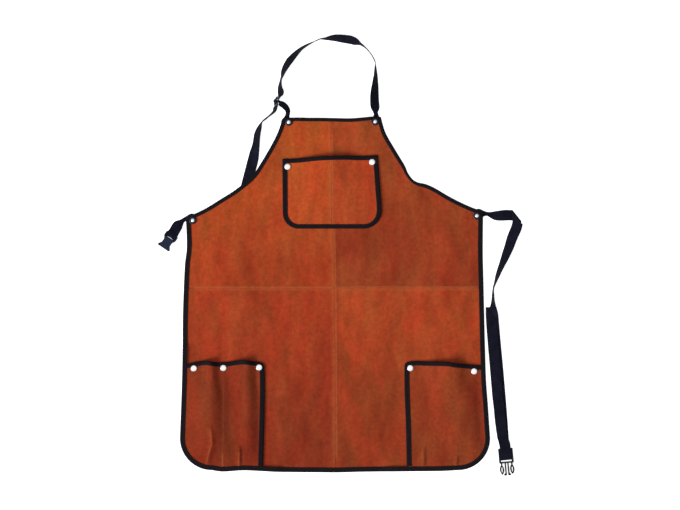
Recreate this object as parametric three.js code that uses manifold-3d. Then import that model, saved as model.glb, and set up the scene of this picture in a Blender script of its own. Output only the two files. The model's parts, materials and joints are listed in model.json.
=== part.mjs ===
// Suede work apron with a neck strap and a buckled waist strap, lying flat with its front up.
// Millimetres, +Z up, +Y from hem to bib. Tables are laid out from the crossing of the two body seams,
// and the last lines move the whole assembly so that its bottom centre is the origin.
import * as THREE from "three";
import { mergeVertices } from "three/addons/utils/BufferGeometryUtils.js";
import ManifoldModule from "manifold-3d";

const manifold = await ManifoldModule();
manifold.setup();

// Driving dimensions of the layers
const SUEDE = 1.6;
const TAPE = 0.8;
const TAPE_WIDTH = 9.6;
const WEBBING = { width: 20, thickness: 1.4 };
const GAP = 0.3;
const EDGE_SLACK = 0.9;
const SEAM_GAP = 0.3;
const EDGE_MARGIN = 11.5;
const ARMHOLE_MARGIN = 25;
const POCKET_SEAT = TAPE + GAP;

// Body outline, at the outer fold of the edge tape
const HEM_RADIUS = 60.8;
const HEM_CENTRE = { x: 233.7, y: -285 };
const HEM_BOW = 3.8;
const LEFT_SIDE = [
  { x: -283.1, y: 133 },
  { x: -281.2, y: 79.8 },
  { x: -286.9, y: 11.4 },
  { x: -288.8, y: -79.8 },
  { x: -290.7, y: -186.2 },
  { x: -294.5, y: -285 },
];
const RIGHT_SIDE = [
  { x: 294.5, y: -285 },
  { x: 290.7, y: -224.2 },
  { x: 286.9, y: -171 },
  { x: 285, y: -98.8 },
  { x: 283.1, y: -3.8 },
  { x: 281.2, y: 72.2 },
  { x: 281.2, y: 144.4 },
];
const RIGHT_ARMHOLE = [
  { x: 281.2, y: 144.4 },
  { x: 252.7, y: 153.9 },
  { x: 222.3, y: 169.1 },
  { x: 191.9, y: 186.2 },
  { x: 161.5, y: 197.6 },
  { x: 148.2, y: 206.2 },
  { x: 131.1, y: 233.7 },
  { x: 100.7, y: 286.9 },
  { x: 87.4, y: 325 },
];
const BIB_TOP = [
  { x: 87.4, y: 325 },
  { x: 70.3, y: 325.9 },
  { x: 28.5, y: 322.1 },
  { x: -28.5, y: 321.7 },
  { x: -98.8, y: 322.1 },
];
const LEFT_ARMHOLE = [
  { x: -98.8, y: 322.1 },
  { x: -112.1, y: 286.9 },
  { x: -138.7, y: 239.4 },
  { x: -157.7, y: 211.9 },
  { x: -188.1, y: 186.2 },
  { x: -218.5, y: 167.2 },
  { x: -248.9, y: 148.2 },
  { x: -283.1, y: 133 },
];
const STATIONS = { hem: 64, armhole: 15, bib: 12 };

// Slope of the centre seam, in x per y, above and below the waist
const SEAM_SLOPE = { above: -0.0234, below: -0.0055 };

// Soft rises of the body, each an ellipse that fades to nothing at its rim
const MOUNDS = [
  { x: -190, y: 70, halfX: 80, halfY: 62, height: 2.4 },
  { x: 175, y: 90, halfX: 85, halfY: 60, height: 2.2 },
  { x: -60, y: -75, halfX: 90, halfY: 75, height: 2.0 },
  { x: 95, y: -60, halfX: 70, halfY: 80, height: 1.8 },
  { x: 0, y: -250, halfX: 85, halfY: 75, height: 2.2 },
  { x: -10, y: 288, halfX: 55, halfY: 20, height: 1.2 },
];

// Strap ends lie under the four corners of the body, and the loose end of the neck strap under its left edge
const CORNER_LIFT = { height: 2.8, flat: 24, fade: 88 };
const TAIL_LIFT = { height: 1.8, flat: 14, fade: 64, from: { x: -160, y: 236 }, to: { x: -184, y: 161 } };

// Rivets
const STRAP_RIVETS = [
  { name: "neck_left", x: -87.6, y: 314.6 },
  { name: "neck_right", x: 76.2, y: 315.4 },
  { name: "waist_left", x: -269.6, y: 128.4 },
  { name: "waist_right", x: 268.9, y: 137 },
];
const POCKET_RIVETS = [
  { name: "chest_left", x: -90.1, y: 230.1 },
  { name: "chest_right", x: 70.3, y: 239 },
  { name: "tool_outer", x: -267.7, y: -152.2 },
  { name: "tool_middle", x: -211.7, y: -151.4 },
  { name: "tool_inner", x: -143.8, y: -150.5 },
  { name: "hand_inner", x: 142.7, y: -151.8 },
  { name: "hand_outer", x: 263.9, y: -157.9 },
];
const RIVET = { shank: 2.4, hole: 2.8, back: 6, backHeight: 0.8, sides: 8 };
const POCKET_CAP = { radius: 6.5, rim: 0.8, height: 2.1 };
const WASHER = { radius: 9, rim: 0.8, height: 1.5, seat: 4.7 };
const STRAP_CAP = { radius: 4.3, rim: 0.7, height: 2.2 };

// Chest pocket, at the outer fold of its tape
const CHEST = {
  bottom: 114, cornerLeft: 30, cornerRight: 34, seam: -5.5,
  mouthLeft: 243.2, mouthRight: 250.4, bendFrom: 190,
};
const CHEST_MOUTH = [
  { x: -99.9, y: 244.9 },
  { x: -71.4, y: 243.4 },
  { x: -28.9, y: 249.7 },
  { x: 18.2, y: 251.2 },
  { x: 49.8, y: 250.4 },
  { x: 81.3, y: 252.1 },
];
const CHEST_LEFT = [
  { x: -99, y: 114 },
  { x: -99.9, y: 253 },
];
const CHEST_RIGHT = [
  { x: 88.8, y: 114 },
  { x: 88.4, y: 155.2 },
  { x: 86.1, y: 186.6 },
  { x: 81.3, y: 253 },
];

// Tool pocket on the left and hand pocket on the right, caught in the hem tape on their outer sides
const TOOL_MOUTH = [
  { x: -296, y: -145.5 },
  { x: -281.2, y: -143.8 },
  { x: -245.1, y: -137.8 },
  { x: -214.7, y: -141.2 },
  { x: -174.8, y: -136.4 },
  { x: -153.9, y: -138.7 },
  { x: -132, y: -142.6 },
];
const TOOL_INNER = [
  { x: -136.9, y: -352 },
  { x: -134, y: -250.8 },
  { x: -133, y: -174.8 },
  { x: -134.9, y: -130 },
];
const HAND_MOUTH = [
  { x: 130, y: -142 },
  { x: 150.1, y: -138.7 },
  { x: 176.7, y: -139.3 },
  { x: 212.8, y: -139.7 },
  { x: 231.8, y: -142.5 },
  { x: 277.4, y: -147.1 },
  { x: 296, y: -148 },
];
const HAND_INNER = [
  { x: 136.4, y: -352 },
  { x: 134.5, y: -262.2 },
  { x: 131.9, y: -190 },
  { x: 131.9, y: -130 },
];
const MOUTH_CORNER = 8;
const MOUTH_BEND_FROM = -220;
const TAPE_END_SLACK = 2.2;
const STACK_FADE = { from: 24, to: 48 };

// Compartments bulge between the named limits, which differ at the mouth and at the bottom
const BULGES = {
  chest: [{ mouthFrom: -81, mouthTo: 61, baseFrom: -84, baseTo: 74, rise: 8.5, base: 0.3 }],
  tool: [
    { mouthFrom: -259.5, mouthTo: -219.9, baseFrom: -280, baseTo: -214, rise: 9.5, base: 0.45 },
    { mouthFrom: -203.5, mouthTo: -152, baseFrom: -209, baseTo: -149, rise: 10.5, base: 0.45 },
  ],
  hand: [{ mouthFrom: 151, mouthTo: 255.6, baseFrom: 149, baseTo: 276, rise: 10.5, base: 0.4 }],
};

// Creases near the bottoms of the pockets: ridges along Y
const CREASES = [
  { pocket: "tool", x: -238, y: -300, halfX: 12, halfY: 34, height: 3.2 },
  { pocket: "tool", x: -178, y: -308, halfX: 14, halfY: 26, height: 2.6 },
  { pocket: "hand", x: 228, y: -310, halfX: 14, halfY: 24, height: 2.4 },
];

// Routes of the webbing: tilt is the turn about its own run in degrees, lift what it lies on
const NECK_STRAP = [
  { x: 73.6, y: 303.2, tilt: 0, lift: 1.1 },
  { x: 76.2, y: 315.4, tilt: 0, lift: 1.1 },
  { x: 77.9, y: 327.5, tilt: 0, lift: 1.1 },
  { x: 77, y: 342, tilt: 31, lift: 0 },
  { x: 75.4, y: 361, tilt: 31, lift: 0 },
  { x: 76.4, y: 391.4, tilt: 55, lift: 0 },
  { x: 77.1, y: 406.6, tilt: 68, lift: 0 },
  { x: 77.1, y: 425.6, tilt: 85, lift: 0 },
  { x: 73.2, y: 438.9, tilt: 90, lift: 0 },
  { x: 62.7, y: 452.2, tilt: 93, lift: 0 },
  { x: 53.2, y: 460.8, tilt: 101, lift: 0 },
  { x: 39.9, y: 469.3, tilt: 130, lift: 0 },
  { x: 17.1, y: 473.7, tilt: 134, lift: 0 },
  { x: -5.7, y: 475.4, tilt: 115, lift: 0 },
  { x: -24.7, y: 473.1, tilt: 92, lift: 0 },
  { x: -41.8, y: 468.7, tilt: 85, lift: 0 },
  { x: -58.9, y: 459.8, tilt: 67, lift: 0 },
  { x: -76, y: 443.7, tilt: 60, lift: 0 },
  { x: -95, y: 416.1, tilt: 65, lift: 0 },
  { x: -100.6, y: 398, tilt: 78, lift: 0 },
  { x: -101.4, y: 381, tilt: 86, lift: 1.5 },
];
const NECK_TAIL = [
  { x: -110.8, y: 335.5, tilt: 88, lift: 1.5 },
  { x: -118.5, y: 331, tilt: 84, lift: 0.5 },
  { x: -128, y: 324.2, tilt: 83, lift: 0 },
  { x: -138, y: 314.6, tilt: 78, lift: 0 },
  { x: -143.5, y: 303, tilt: 65, lift: 0 },
  { x: -147.3, y: 288.8, tilt: 55, lift: 0 },
  { x: -150.1, y: 269.8, tilt: 34, lift: 0 },
  { x: -153.9, y: 254.6, tilt: 10, lift: 0 },
  { x: -161.5, y: 231.8, tilt: 0, lift: 0 },
  { x: -184, y: 161, tilt: 0, lift: 0 },
];
const NECK_TAB = [
  { x: -86.4, y: 303.5, tilt: 0, lift: 1.1 },
  { x: -88.6, y: 315, tilt: 0, lift: 1.1 },
  { x: -90.6, y: 325, tilt: 0, lift: 1.1 },
  { x: -90.6, y: 336.4, tilt: 55, lift: 0 },
  { x: -92.8, y: 344.4, tilt: 76, lift: 1 },
];
const WAIST_LEFT = [
  { x: -258.2, y: 125.8, tilt: 0, lift: 1.1 },
  { x: -269.6, y: 128.4, tilt: 0, lift: 1.1 },
  { x: -285, y: 131.4, tilt: 0, lift: 1.1 },
  { x: -291.4, y: 127.4, tilt: 38, lift: 0.6 },
  { x: -297.4, y: 119.4, tilt: 36, lift: 1.2 },
  { x: -303.2, y: 109.8, tilt: 14, lift: 2.4 },
];
const WAIST_RIGHT = [
  { x: 257.8, y: 132.4, tilt: 0, lift: 1.1 },
  { x: 268.9, y: 137, tilt: 0, lift: 1.1 },
  { x: 283.6, y: 141, tilt: 0, lift: 1.1 },
  { x: 293, y: 141.4, tilt: 62, lift: 0 },
  { x: 307.8, y: 138.6, tilt: 36, lift: 0 },
  { x: 321.1, y: 138, tilt: 22, lift: 0 },
  { x: 333.4, y: 137.6, tilt: 0, lift: 0 },
];
const WAIST_FOLD = { x: 344.6, y: 136.4, radius: 1.8, heading: { x: -0.305, y: -0.953 } };
const WAIST_DROP = [
  { x: 341.6, y: 113, tilt: 0, lift: 3 },
  { x: 336.6, y: 91.2, tilt: 6, lift: 0.5 },
  { x: 324.9, y: 58.9, tilt: 40, lift: 0 },
  { x: 313.5, y: 34.2, tilt: 58, lift: 0 },
  { x: 305, y: 11.4, tilt: 73, lift: 0 },
  { x: 301, y: -8, tilt: 78, lift: 0 },
  { x: 301.4, y: -24, tilt: 60, lift: 0 },
  { x: 300.6, y: -38, tilt: 10, lift: 0 },
  { x: 301.6, y: -54, tilt: 0, lift: 0 },
  { x: 305.8, y: -98.8, tilt: 0, lift: 0 },
  { x: 310.9, y: -153.9, tilt: 0, lift: 0 },
  { x: 317.5, y: -231.8, tilt: 0, lift: 0 },
  { x: 321.6, y: -290, tilt: 0, lift: 0 },
];
const WAIST_TAIL = [
  { x: 321, y: -284, tilt: 0, lift: 2.2 },
  { x: 315.4, y: -232, tilt: 0, lift: 1.7 },
  { x: 304.7, y: -153.9, tilt: 0, lift: 1.7 },
  { x: 299.4, y: -90, tilt: 0, lift: 1.7 },
  { x: 297.2, y: -56, tilt: 0, lift: 2.2 },
  { x: 296.8, y: -36, tilt: 0, lift: 4.4 },
];

// Hardware, each with its place, its direction of pull and its sizes
const SLIDER = {
  x: -107.2, y: 356.6, headingX: -0.322, headingY: -0.947,
  length: 17.8, width: 26, thickness: 2.2, bar: 2.4, slot: 20.8, corner: 3, loop: 2.4, over: 4.5,
};
const SOCKET = {
  x: -308.8, y: 101.7, headingX: -0.558, headingY: -0.83,
  length: 30, height: 8, shoulder: 25, waist: 13, mouth: 24, bar: 3, barHeight: 3, slot: 6,
  cavityWidth: 18.4, cavityHeight: 5.4, cavityDepth: 19,
};
const PRONGS = {
  x: 323.2, y: -305, headingX: 0.093, headingY: -0.996,
  width: 26, rail: 2.5, height: 5, bar: 3.4, secondBar: 15.4, barHeight: 3, crossFrom: 25.3, crossTo: 29,
  rodOffset: 2.5, rodWidth: 1.6, rodTo: 51, footWidth: 3.4, prongHeight: 4,
  armOffset: 9.5, armWidth: 1.8, loopFrom: 33, loopTo: 49.5, loopHalf: 3.5,
};

const COLOURS = {
  suedeLight: { color: "#af4d24", roughness: 0.95, metalness: 0 },
  suedeMid: { color: "#a03f22", roughness: 0.95, metalness: 0 },
  suedeDark: { color: "#8f3a20", roughness: 0.95, metalness: 0 },
  tape: { color: "#26181c", roughness: 0.85, metalness: 0 },
  webbing: { color: "#19181d", roughness: 0.8, metalness: 0 },
  nickel: { color: "#d9dcde", roughness: 0.25, metalness: 1 },
  blackMetal: { color: "#1b1b1f", roughness: 0.4, metalness: 0.8 },
  plastic: { color: "#20252e", roughness: 0.4, metalness: 0 },
};

// Small tools for numbers and curves
const { smoothstep, lerp, clamp } = THREE.MathUtils;
const steps = (from, to, count) => Array.from({ length: count + 1 }, (_, i) => lerp(from, to, i / count));
const plan = (row) => new THREE.Vector2(row.x, row.y);
const spline = (rows, count) => new THREE.SplineCurve(rows.map(plan)).getSpacedPoints(count);

// Reads one coordinate of a polyline at a value of the other, which must only rise or only fall
function trace(points, from, to) {
  const sorted = [...points].sort((a, b) => a[from] - b[from]);
  return (value) => {
    const next = clamp(sorted.findIndex((point) => point[from] >= value), 1, sorted.length - 1);
    const high = value > sorted.at(-1)[from] ? sorted.length - 1 : next;
    const [a, b] = [sorted[high - 1], sorted[high]];
    return lerp(a[to], b[to], clamp((value - a[from]) / (b[from] - a[from] || 1), 0, 1));
  };
}
const graph = (rows, from, to) => trace(spline(rows, rows.length * 10), from, to);

// Inward mitre vectors along a counter-clockwise polyline, closed or open
function inwardMitres(points, closed) {
  const normal = (a, b) => new THREE.Vector2(a.y - b.y, b.x - a.x).normalize();
  return points.map((point, i) => {
    const last = points.length - 1;
    const before = i > 0 ? points[i - 1] : closed && points[last];
    const after = i < last ? points[i + 1] : closed && points[0];
    const first = before ? normal(before, point) : normal(point, after);
    const second = after ? normal(point, after) : first;
    return first.clone().add(second).divideScalar(1 + first.dot(second));
  });
}
const inset = (points, mitres, distance) =>
  points.map((point, i) => point.clone().addScaledVector(mitres[i], distance));

// Closed solids from lists of corners and triangles
function solid(corners, triangles) {
  const geometry = new THREE.BufferGeometry();
  const numbers = corners.flatMap((p) => [p.x, p.y, p.z]);
  geometry.setAttribute("position", new THREE.Float32BufferAttribute(numbers, 3));
  geometry.setIndex(triangles.flat());
  return clean(geometry);
}

// Merges equal corners, drops flat triangles and turns the surface outward
function clean(source) {
  const bare = source.clone();
  for (const name of Object.keys(bare.attributes)) {
    if (name !== "position") bare.deleteAttribute(name);
  }
  const geometry = mergeVertices(bare, 1e-3);
  const { position } = geometry.attributes;
  const corner = (i) => new THREE.Vector3().fromBufferAttribute(position, i);
  const faces = [];
  let volume = 0;
  for (let i = 0; i < geometry.index.count; i += 3) {
    const face = [0, 1, 2].map((k) => geometry.index.getX(i + k));
    if (new Set(face).size < 3) continue;
    const [a, b, c] = face.map(corner);
    volume += a.dot(b.cross(c));
    faces.push(face);
  }
  geometry.setIndex(faces.flatMap((face) => (volume < 0 ? [face[0], face[2], face[1]] : face)));
  return geometry;
}

// A wall between two grids of points with the same rows and columns
function wall(upper, lower) {
  const rows = upper.length;
  const columns = upper[0].length;
  const top = (i, j) => i * columns + j;
  const under = (i, j) => rows * columns + i * columns + j;
  const faces = [];
  const quad = (a, b, c, d) => faces.push([a, b, c], [a, c, d]);
  for (let i = 0; i + 1 < rows; i += 1) {
    for (let j = 0; j + 1 < columns; j += 1) {
      quad(top(i, j), top(i, j + 1), top(i + 1, j + 1), top(i + 1, j));
      quad(under(i, j), under(i + 1, j), under(i + 1, j + 1), under(i, j + 1));
    }
    quad(top(i, 0), top(i + 1, 0), under(i + 1, 0), under(i, 0));
    quad(top(i, columns - 1), under(i, columns - 1), under(i + 1, columns - 1), top(i + 1, columns - 1));
  }
  for (let j = 0; j + 1 < columns; j += 1) {
    quad(top(0, j), under(0, j), under(0, j + 1), top(0, j + 1));
    quad(top(rows - 1, j), top(rows - 1, j + 1), under(rows - 1, j + 1), under(rows - 1, j));
  }
  return solid([...upper.flat(), ...lower.flat()], faces);
}

// Joins sections with the same number of corners, capped by the triangles given or closed into a ring
function loft(sections, capFaces, ring = false) {
  const size = sections[0].length;
  const faces = [];
  const spans = ring ? sections.length : sections.length - 1;
  for (let i = 0; i < spans; i += 1) {
    const here = i * size;
    const next = ((i + 1) % sections.length) * size;
    for (let k = 0; k < size; k += 1) {
      const other = (k + 1) % size;
      faces.push([here + k, here + other, next + other], [here + k, next + other, next + k]);
    }
  }
  if (!ring) {
    const end = (sections.length - 1) * size;
    for (const [a, b, c] of capFaces) faces.push([c, b, a], [end + a, end + b, end + c]);
  }
  return solid(sections.flat(), faces);
}

function toManifold(geometry) {
  const vertProperties = new Float32Array(geometry.attributes.position.array);
  const triVerts = new Uint32Array(geometry.index.array);
  return new manifold.Manifold(new manifold.Mesh({ numProp: 3, vertProperties, triVerts }));
}
function fromManifold(body) {
  const mesh = body.getMesh();
  const geometry = new THREE.BufferGeometry();
  geometry.setAttribute("position", new THREE.BufferAttribute(mesh.vertProperties, 3));
  geometry.setIndex(new THREE.BufferAttribute(mesh.triVerts, 1));
  return clean(geometry);
}
const joined = (pieces) => fromManifold(manifold.Manifold.union(pieces.map(toManifold)));
const cut = (piece, cutters) =>
  fromManifold(toManifold(piece).subtract(manifold.Manifold.union(cutters.map(toManifold))));

// Cuts the rivet holes that fall inside a piece
function drilled(geometry, rivets) {
  const hole = (rivet) => {
    const cylinder = new THREE.CylinderGeometry(RIVET.hole, RIVET.hole, 60, RIVET.sides);
    return clean(cylinder.rotateX(Math.PI / 2).translate(rivet.x, rivet.y, 0));
  };
  return cut(geometry, rivets.map(hole));
}

// Outline of the body as one counter-clockwise loop, kept with the place of each stretch in it
function bodyOutline() {
  const hem = new THREE.Path();
  hem.moveTo(LEFT_SIDE[0].x, LEFT_SIDE[0].y);
  hem.splineThru(LEFT_SIDE.slice(1).map(plan));
  hem.absarc(-HEM_CENTRE.x, HEM_CENTRE.y, HEM_RADIUS, Math.PI, 1.5 * Math.PI, false);
  const base = HEM_CENTRE.y - HEM_RADIUS;
  hem.quadraticCurveTo(0, base - 2 * HEM_BOW, HEM_CENTRE.x, base);
  hem.absarc(HEM_CENTRE.x, HEM_CENTRE.y, HEM_RADIUS, 1.5 * Math.PI, 2 * Math.PI, false);
  hem.splineThru(RIGHT_SIDE.slice(1).map(plan));
  const stretches = {
    hem: hem.getSpacedPoints(STATIONS.hem),
    armholeRight: spline(RIGHT_ARMHOLE, STATIONS.armhole),
    bibTop: spline(BIB_TOP, STATIONS.bib),
    armholeLeft: spline(LEFT_ARMHOLE, STATIONS.armhole),
  };
  const points = [];
  const spans = {};
  for (const [name, stretch] of Object.entries(stretches)) {
    spans[name] = { from: points.length, to: points.length + stretch.length - 1 };
    points.push(...stretch.slice(0, -1));
  }
  return { points, spans, mitres: inwardMitres(points, true) };
}
const OUTLINE = bodyOutline();
const EDGE = inset(OUTLINE.points, OUTLINE.mitres, TAPE + EDGE_SLACK);
function stretchOf(line, name) {
  const { from, to } = OUTLINE.spans[name];
  return Array.from({ length: to - from + 1 }, (_, i) => line[(from + i) % line.length]);
}
const HEM_EDGE = stretchOf(EDGE, "hem");
const bottomEdge = trace(HEM_EDGE.filter((p) => p.y < HEM_CENTRE.y - HEM_RADIUS / 2), "x", "y");
const topEdge = trace(stretchOf(EDGE, "bibTop"), "x", "y");
const BASE_LEVEL = bottomEdge(HEM_CENTRE.x);

// The two sides of the suede from hem to bib, on the same stations as the tape
function sideEdge(sign, armhole) {
  const points = [
    new THREE.Vector2(sign * HEM_CENTRE.x, BASE_LEVEL),
    ...HEM_EDGE.filter((p) => sign * p.x > HEM_CENTRE.x && p.y > BASE_LEVEL + 1),
    ...stretchOf(EDGE, armhole),
  ].sort((a, b) => a.y - b.y);
  const corner = stretchOf(EDGE, armhole).at(sign < 0 ? -1 : 0).y;
  const at = trace(points, "y", "x");
  const between = (low, high) => points.map((p) => p.y).filter((y) => y > low && y < high);
  return { sign, at, between, corner, top: points.at(-1).y };
}
const SIDES = { left: sideEdge(-1, "armholeLeft"), right: sideEdge(1, "armholeRight") };
const seamX = (y) => y * (y > 0 ? SEAM_SLOPE.above : SEAM_SLOPE.below);

// Height of the body's underside
function distanceToSegment(x, y, from, to) {
  const along = new THREE.Line3(new THREE.Vector3(from.x, from.y, 0), new THREE.Vector3(to.x, to.y, 0));
  const place = new THREE.Vector3(x, y, 0);
  return along.closestPointToPoint(place, true, new THREE.Vector3()).distanceTo(place);
}
function liftAt(x, y) {
  const faded = (lift, distance) => lift.height * (1 - smoothstep(distance, lift.flat, lift.fade));
  const corners = STRAP_RIVETS.map((rivet) => faded(CORNER_LIFT, Math.hypot(x - rivet.x, y - rivet.y)));
  const tail = faded(TAIL_LIFT, distanceToSegment(x, y, TAIL_LIFT.from, TAIL_LIFT.to));
  return Math.hypot(...corners, tail);
}
function swell({ x: cx, y: cy, halfX, halfY, height }, x, y) {
  const away = ((x - cx) / halfX) ** 2 + ((y - cy) / halfY) ** 2;
  return away < 1 ? height * (1 - away) ** 2 : 0;
}
const moundsAt = (x, y) => MOUNDS.reduce((sum, mound) => sum + swell(mound, x, y), 0);
const bodyUnder = (x, y) => TAPE + GAP + liftAt(x, y) + moundsAt(x, y);

// Height of each pocket's underside: its seat on the body, its bulges and its creases
const MOUTHS = {
  chest: graph(CHEST_MOUTH, "x", "y"),
  tool: graph(TOOL_MOUTH, "x", "y"),
  hand: graph(HAND_MOUTH, "x", "y"),
};
const POCKET_BASE = { chest: CHEST.bottom, tool: BASE_LEVEL + TAPE_WIDTH, hand: BASE_LEVEL + TAPE_WIDTH };
function pocketUnder(pocket, x, y) {
  const height = clamp((y - POCKET_BASE[pocket]) / (MOUTHS[pocket](x) - POCKET_BASE[pocket]), 0, 1.05);
  const open = smoothstep(height, 0.55, 0.92);
  let rise = 0;
  for (const bulge of BULGES[pocket]) {
    const from = lerp(bulge.baseFrom, bulge.mouthFrom, open);
    const to = lerp(bulge.baseTo, bulge.mouthTo, open);
    const across = Math.sin(Math.PI * clamp((x - from) / (to - from), 0, 1)) ** 2;
    rise += bulge.rise * across * smoothstep(height, 0.03, 0.42) * lerp(bulge.base, 1, height);
  }
  for (const crease of CREASES) {
    if (crease.pocket === pocket) rise += swell(crease, x, y);
  }
  return bodyUnder(x, y) + SUEDE + GAP + POCKET_SEAT + rise;
}

// Points from one edge to another, with a narrow first or last step where tape covers the margin
function spread(from, to, count, marginsFrom, marginsTo) {
  const inner = steps(from + (marginsFrom.at(-1) ?? 0), to - (marginsTo.at(-1) ?? 0), count);
  const before = marginsFrom.length ? [0, ...marginsFrom.slice(0, -1)] : [];
  const after = marginsTo.length ? [...marginsTo.slice(0, -1).reverse(), 0] : [];
  return [...before.map((margin) => from + margin), ...inner, ...after.map((margin) => to - margin)];
}

// A suede wall whose rows run across at the levels given
function suedeWall({ levels, columns, rowY, under }) {
  const grid = levels.map((level) => columns(level).map((x) => ({ x, y: rowY(x, level) })));
  const point = ({ x, y }, height) => new THREE.Vector3(x, y, under(x, y) + height);
  const raise = (height) => grid.map((row) => row.map((place) => point(place, height)));
  return wall(raise(SUEDE), raise(0));
}

// Levels from one height down to the bottom edge, on the stations of one side
function hemLevels(side, from) {
  const round = side.between(BASE_LEVEL + 1, HEM_CENTRE.y + 2);
  const straight = side.between(HEM_CENTRE.y + 2, from - 10).filter((_, i) => i % 2 === 1);
  return [BASE_LEVEL, ...round, ...straight, from].reverse();
}
const hemBow = (x, level) => {
  const share = clamp((HEM_CENTRE.y - level) / (HEM_CENTRE.y - BASE_LEVEL), 0, 1);
  return level + share * (bottomEdge(clamp(x, -HEM_CENTRE.x, HEM_CENTRE.x)) - BASE_LEVEL);
};

function bodyPanel(side, levels, rowY) {
  const seam = (level) => seamX(level) + side.sign * SEAM_GAP / 2;
  const margins = [EDGE_MARGIN, ARMHOLE_MARGIN];
  const columns = (level) => (side.sign < 0
    ? spread(side.at(level), seam(level), 5, margins, [])
    : spread(seam(level), side.at(level), 5, [], margins));
  return suedeWall({ levels, columns, rowY, under: bodyUnder });
}
function upperPanel(side) {
  const { corner, top } = side;
  const share = (level) => clamp((level - corner) / (top - corner), 0, 1) ** 4;
  const levels = [SEAM_GAP / 2, ...side.between(24, top - 14), top - 12, top];
  return bodyPanel(side, levels, (x, level) => level + share(level) * (topEdge(x) - top));
}
const lowerPanel = (side) => bodyPanel(side, hemLevels(side, -SEAM_GAP / 2), hemBow);

// Folded tape: a U section along an edge, following the faces of what it covers
const TAPE_CAP = [[0, 1, 5], [1, 4, 5], [1, 2, 4], [2, 3, 4], [0, 5, 7], [5, 6, 7]];
function foldedTape(points, mitres, bottomAt, topAt, ring = false) {
  const sections = points.map((outer, i) => {
    const fold = outer.clone().addScaledVector(mitres[i], TAPE);
    const inner = outer.clone().addScaledVector(mitres[i], TAPE_WIDTH);
    const at = (p, z) => new THREE.Vector3(p.x, p.y, z);
    return [
      at(outer, bottomAt(outer)), at(outer, topAt(outer)),
      at(inner, topAt(inner)), at(inner, topAt(inner) - TAPE),
      at(fold, topAt(outer) - TAPE), at(fold, bottomAt(outer) + TAPE),
      at(inner, bottomAt(inner) + TAPE), at(inner, bottomAt(inner)),
    ];
  });
  return loft(sections, TAPE_CAP, ring);
}

// Extra height of the edge tape where it also covers a pocket
function pocketStack(p) {
  const beyond = (distance) => 1 - smoothstep(distance, STACK_FADE.from, STACK_FADE.to);
  const tool = beyond(p.x - TOOL_INNER[0].x) * beyond(p.y - MOUTHS.tool(p.x));
  const hand = beyond(HAND_INNER[0].x - p.x) * beyond(p.y - MOUTHS.hand(p.x));
  return (GAP + POCKET_SEAT + SUEDE) * Math.max(tool, hand);
}
function edgeTape(name) {
  const points = stretchOf(OUTLINE.points, name).map((p) => p.clone());
  const mitres = stretchOf(OUTLINE.mitres, name);
  const pull = (end, next) => end.lerp(next, SEAM_GAP / end.distanceTo(next));
  pull(points[0], points[1]);
  pull(points.at(-1), points.at(-2));
  const bottomAt = (p) => bodyUnder(p.x, p.y) - GAP - TAPE;
  const topAt = (p) => bodyUnder(p.x, p.y) + SUEDE + GAP + TAPE + pocketStack(p);
  return foldedTape(points, mitres, bottomAt, topAt);
}

// Chest pocket
const chestLeft = graph(CHEST_LEFT, "y", "x");
const chestRight = graph(CHEST_RIGHT, "y", "x");
function chestEdge(radius, edge, outward, depth, level) {
  const straight = edge(level) - outward * depth;
  const drop = CHEST.bottom + radius - level;
  const reach = radius - depth;
  return drop > 0 ? straight - outward * (reach - Math.sqrt(Math.max(reach ** 2 - drop ** 2, 0))) : straight;
}
function chestHalf(side) {
  const depth = TAPE + EDGE_SLACK;
  const radius = side === "left" ? CHEST.cornerLeft : CHEST.cornerRight;
  const base = CHEST.bottom + depth;
  const round = steps(0, Math.PI / 2, 4)
    .map((angle) => CHEST.bottom + radius - (radius - depth) * Math.cos(angle));
  const mouth = side === "left" ? CHEST.mouthLeft : CHEST.mouthRight;
  const levels = [base, ...round.slice(1), ...steps(round.at(-1), mouth - 11, 4).slice(1), mouth];
  const bend = (level) => clamp((level - CHEST.bendFrom) / (mouth - CHEST.bendFrom), 0, 1) ** 2;
  const rowY = (x, level) => level + bend(level) * (MOUTHS.chest(x) - depth - mouth);
  const [seamLeft, seamRight] = [CHEST.seam - SEAM_GAP / 2, CHEST.seam + SEAM_GAP / 2];
  const columns = (level) => (side === "left"
    ? spread(chestEdge(radius, chestLeft, -1, depth, level), seamLeft, 5, [EDGE_MARGIN], [])
    : spread(seamRight, chestEdge(radius, chestRight, 1, depth, level), 5, [], [EDGE_MARGIN]));
  return suedeWall({ levels, columns, rowY, under: (x, y) => pocketUnder("chest", x, y) });
}
function chestTape() {
  const arc = (radius, centreX, from, to) => steps(from, to, 4).map((angle) =>
    new THREE.Vector2(centreX + radius * Math.cos(angle), CHEST.bottom + radius + radius * Math.sin(angle)));
  const [leftX, rightX] = [chestLeft(CHEST.bottom + 30), chestRight(CHEST.bottom + 30)];
  const side = (edge, from, to) => steps(from, to, 4).slice(1, -1).map((y) => new THREE.Vector2(edge(y), y));
  const around = [
    new THREE.Vector2(CHEST_MOUTH[0].x, CHEST_MOUTH[0].y),
    ...side(chestLeft, CHEST_MOUTH[0].y, CHEST.bottom + CHEST.cornerLeft),
    ...arc(CHEST.cornerLeft, leftX + CHEST.cornerLeft, Math.PI, 1.5 * Math.PI),
    ...arc(CHEST.cornerRight, rightX - CHEST.cornerRight, 1.5 * Math.PI, 2 * Math.PI),
    ...side(chestRight, CHEST.bottom + CHEST.cornerRight, CHEST_MOUTH.at(-1).y),
    new THREE.Vector2(CHEST_MOUTH.at(-1).x, CHEST_MOUTH.at(-1).y),
  ];
  const mouth = steps(CHEST_MOUTH.at(-1).x, CHEST_MOUTH[0].x, 12).slice(1, -1)
    .map((x) => new THREE.Vector2(x, MOUTHS.chest(x)));
  return pocketTape("chest", around, mouth, [], true);
}

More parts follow.
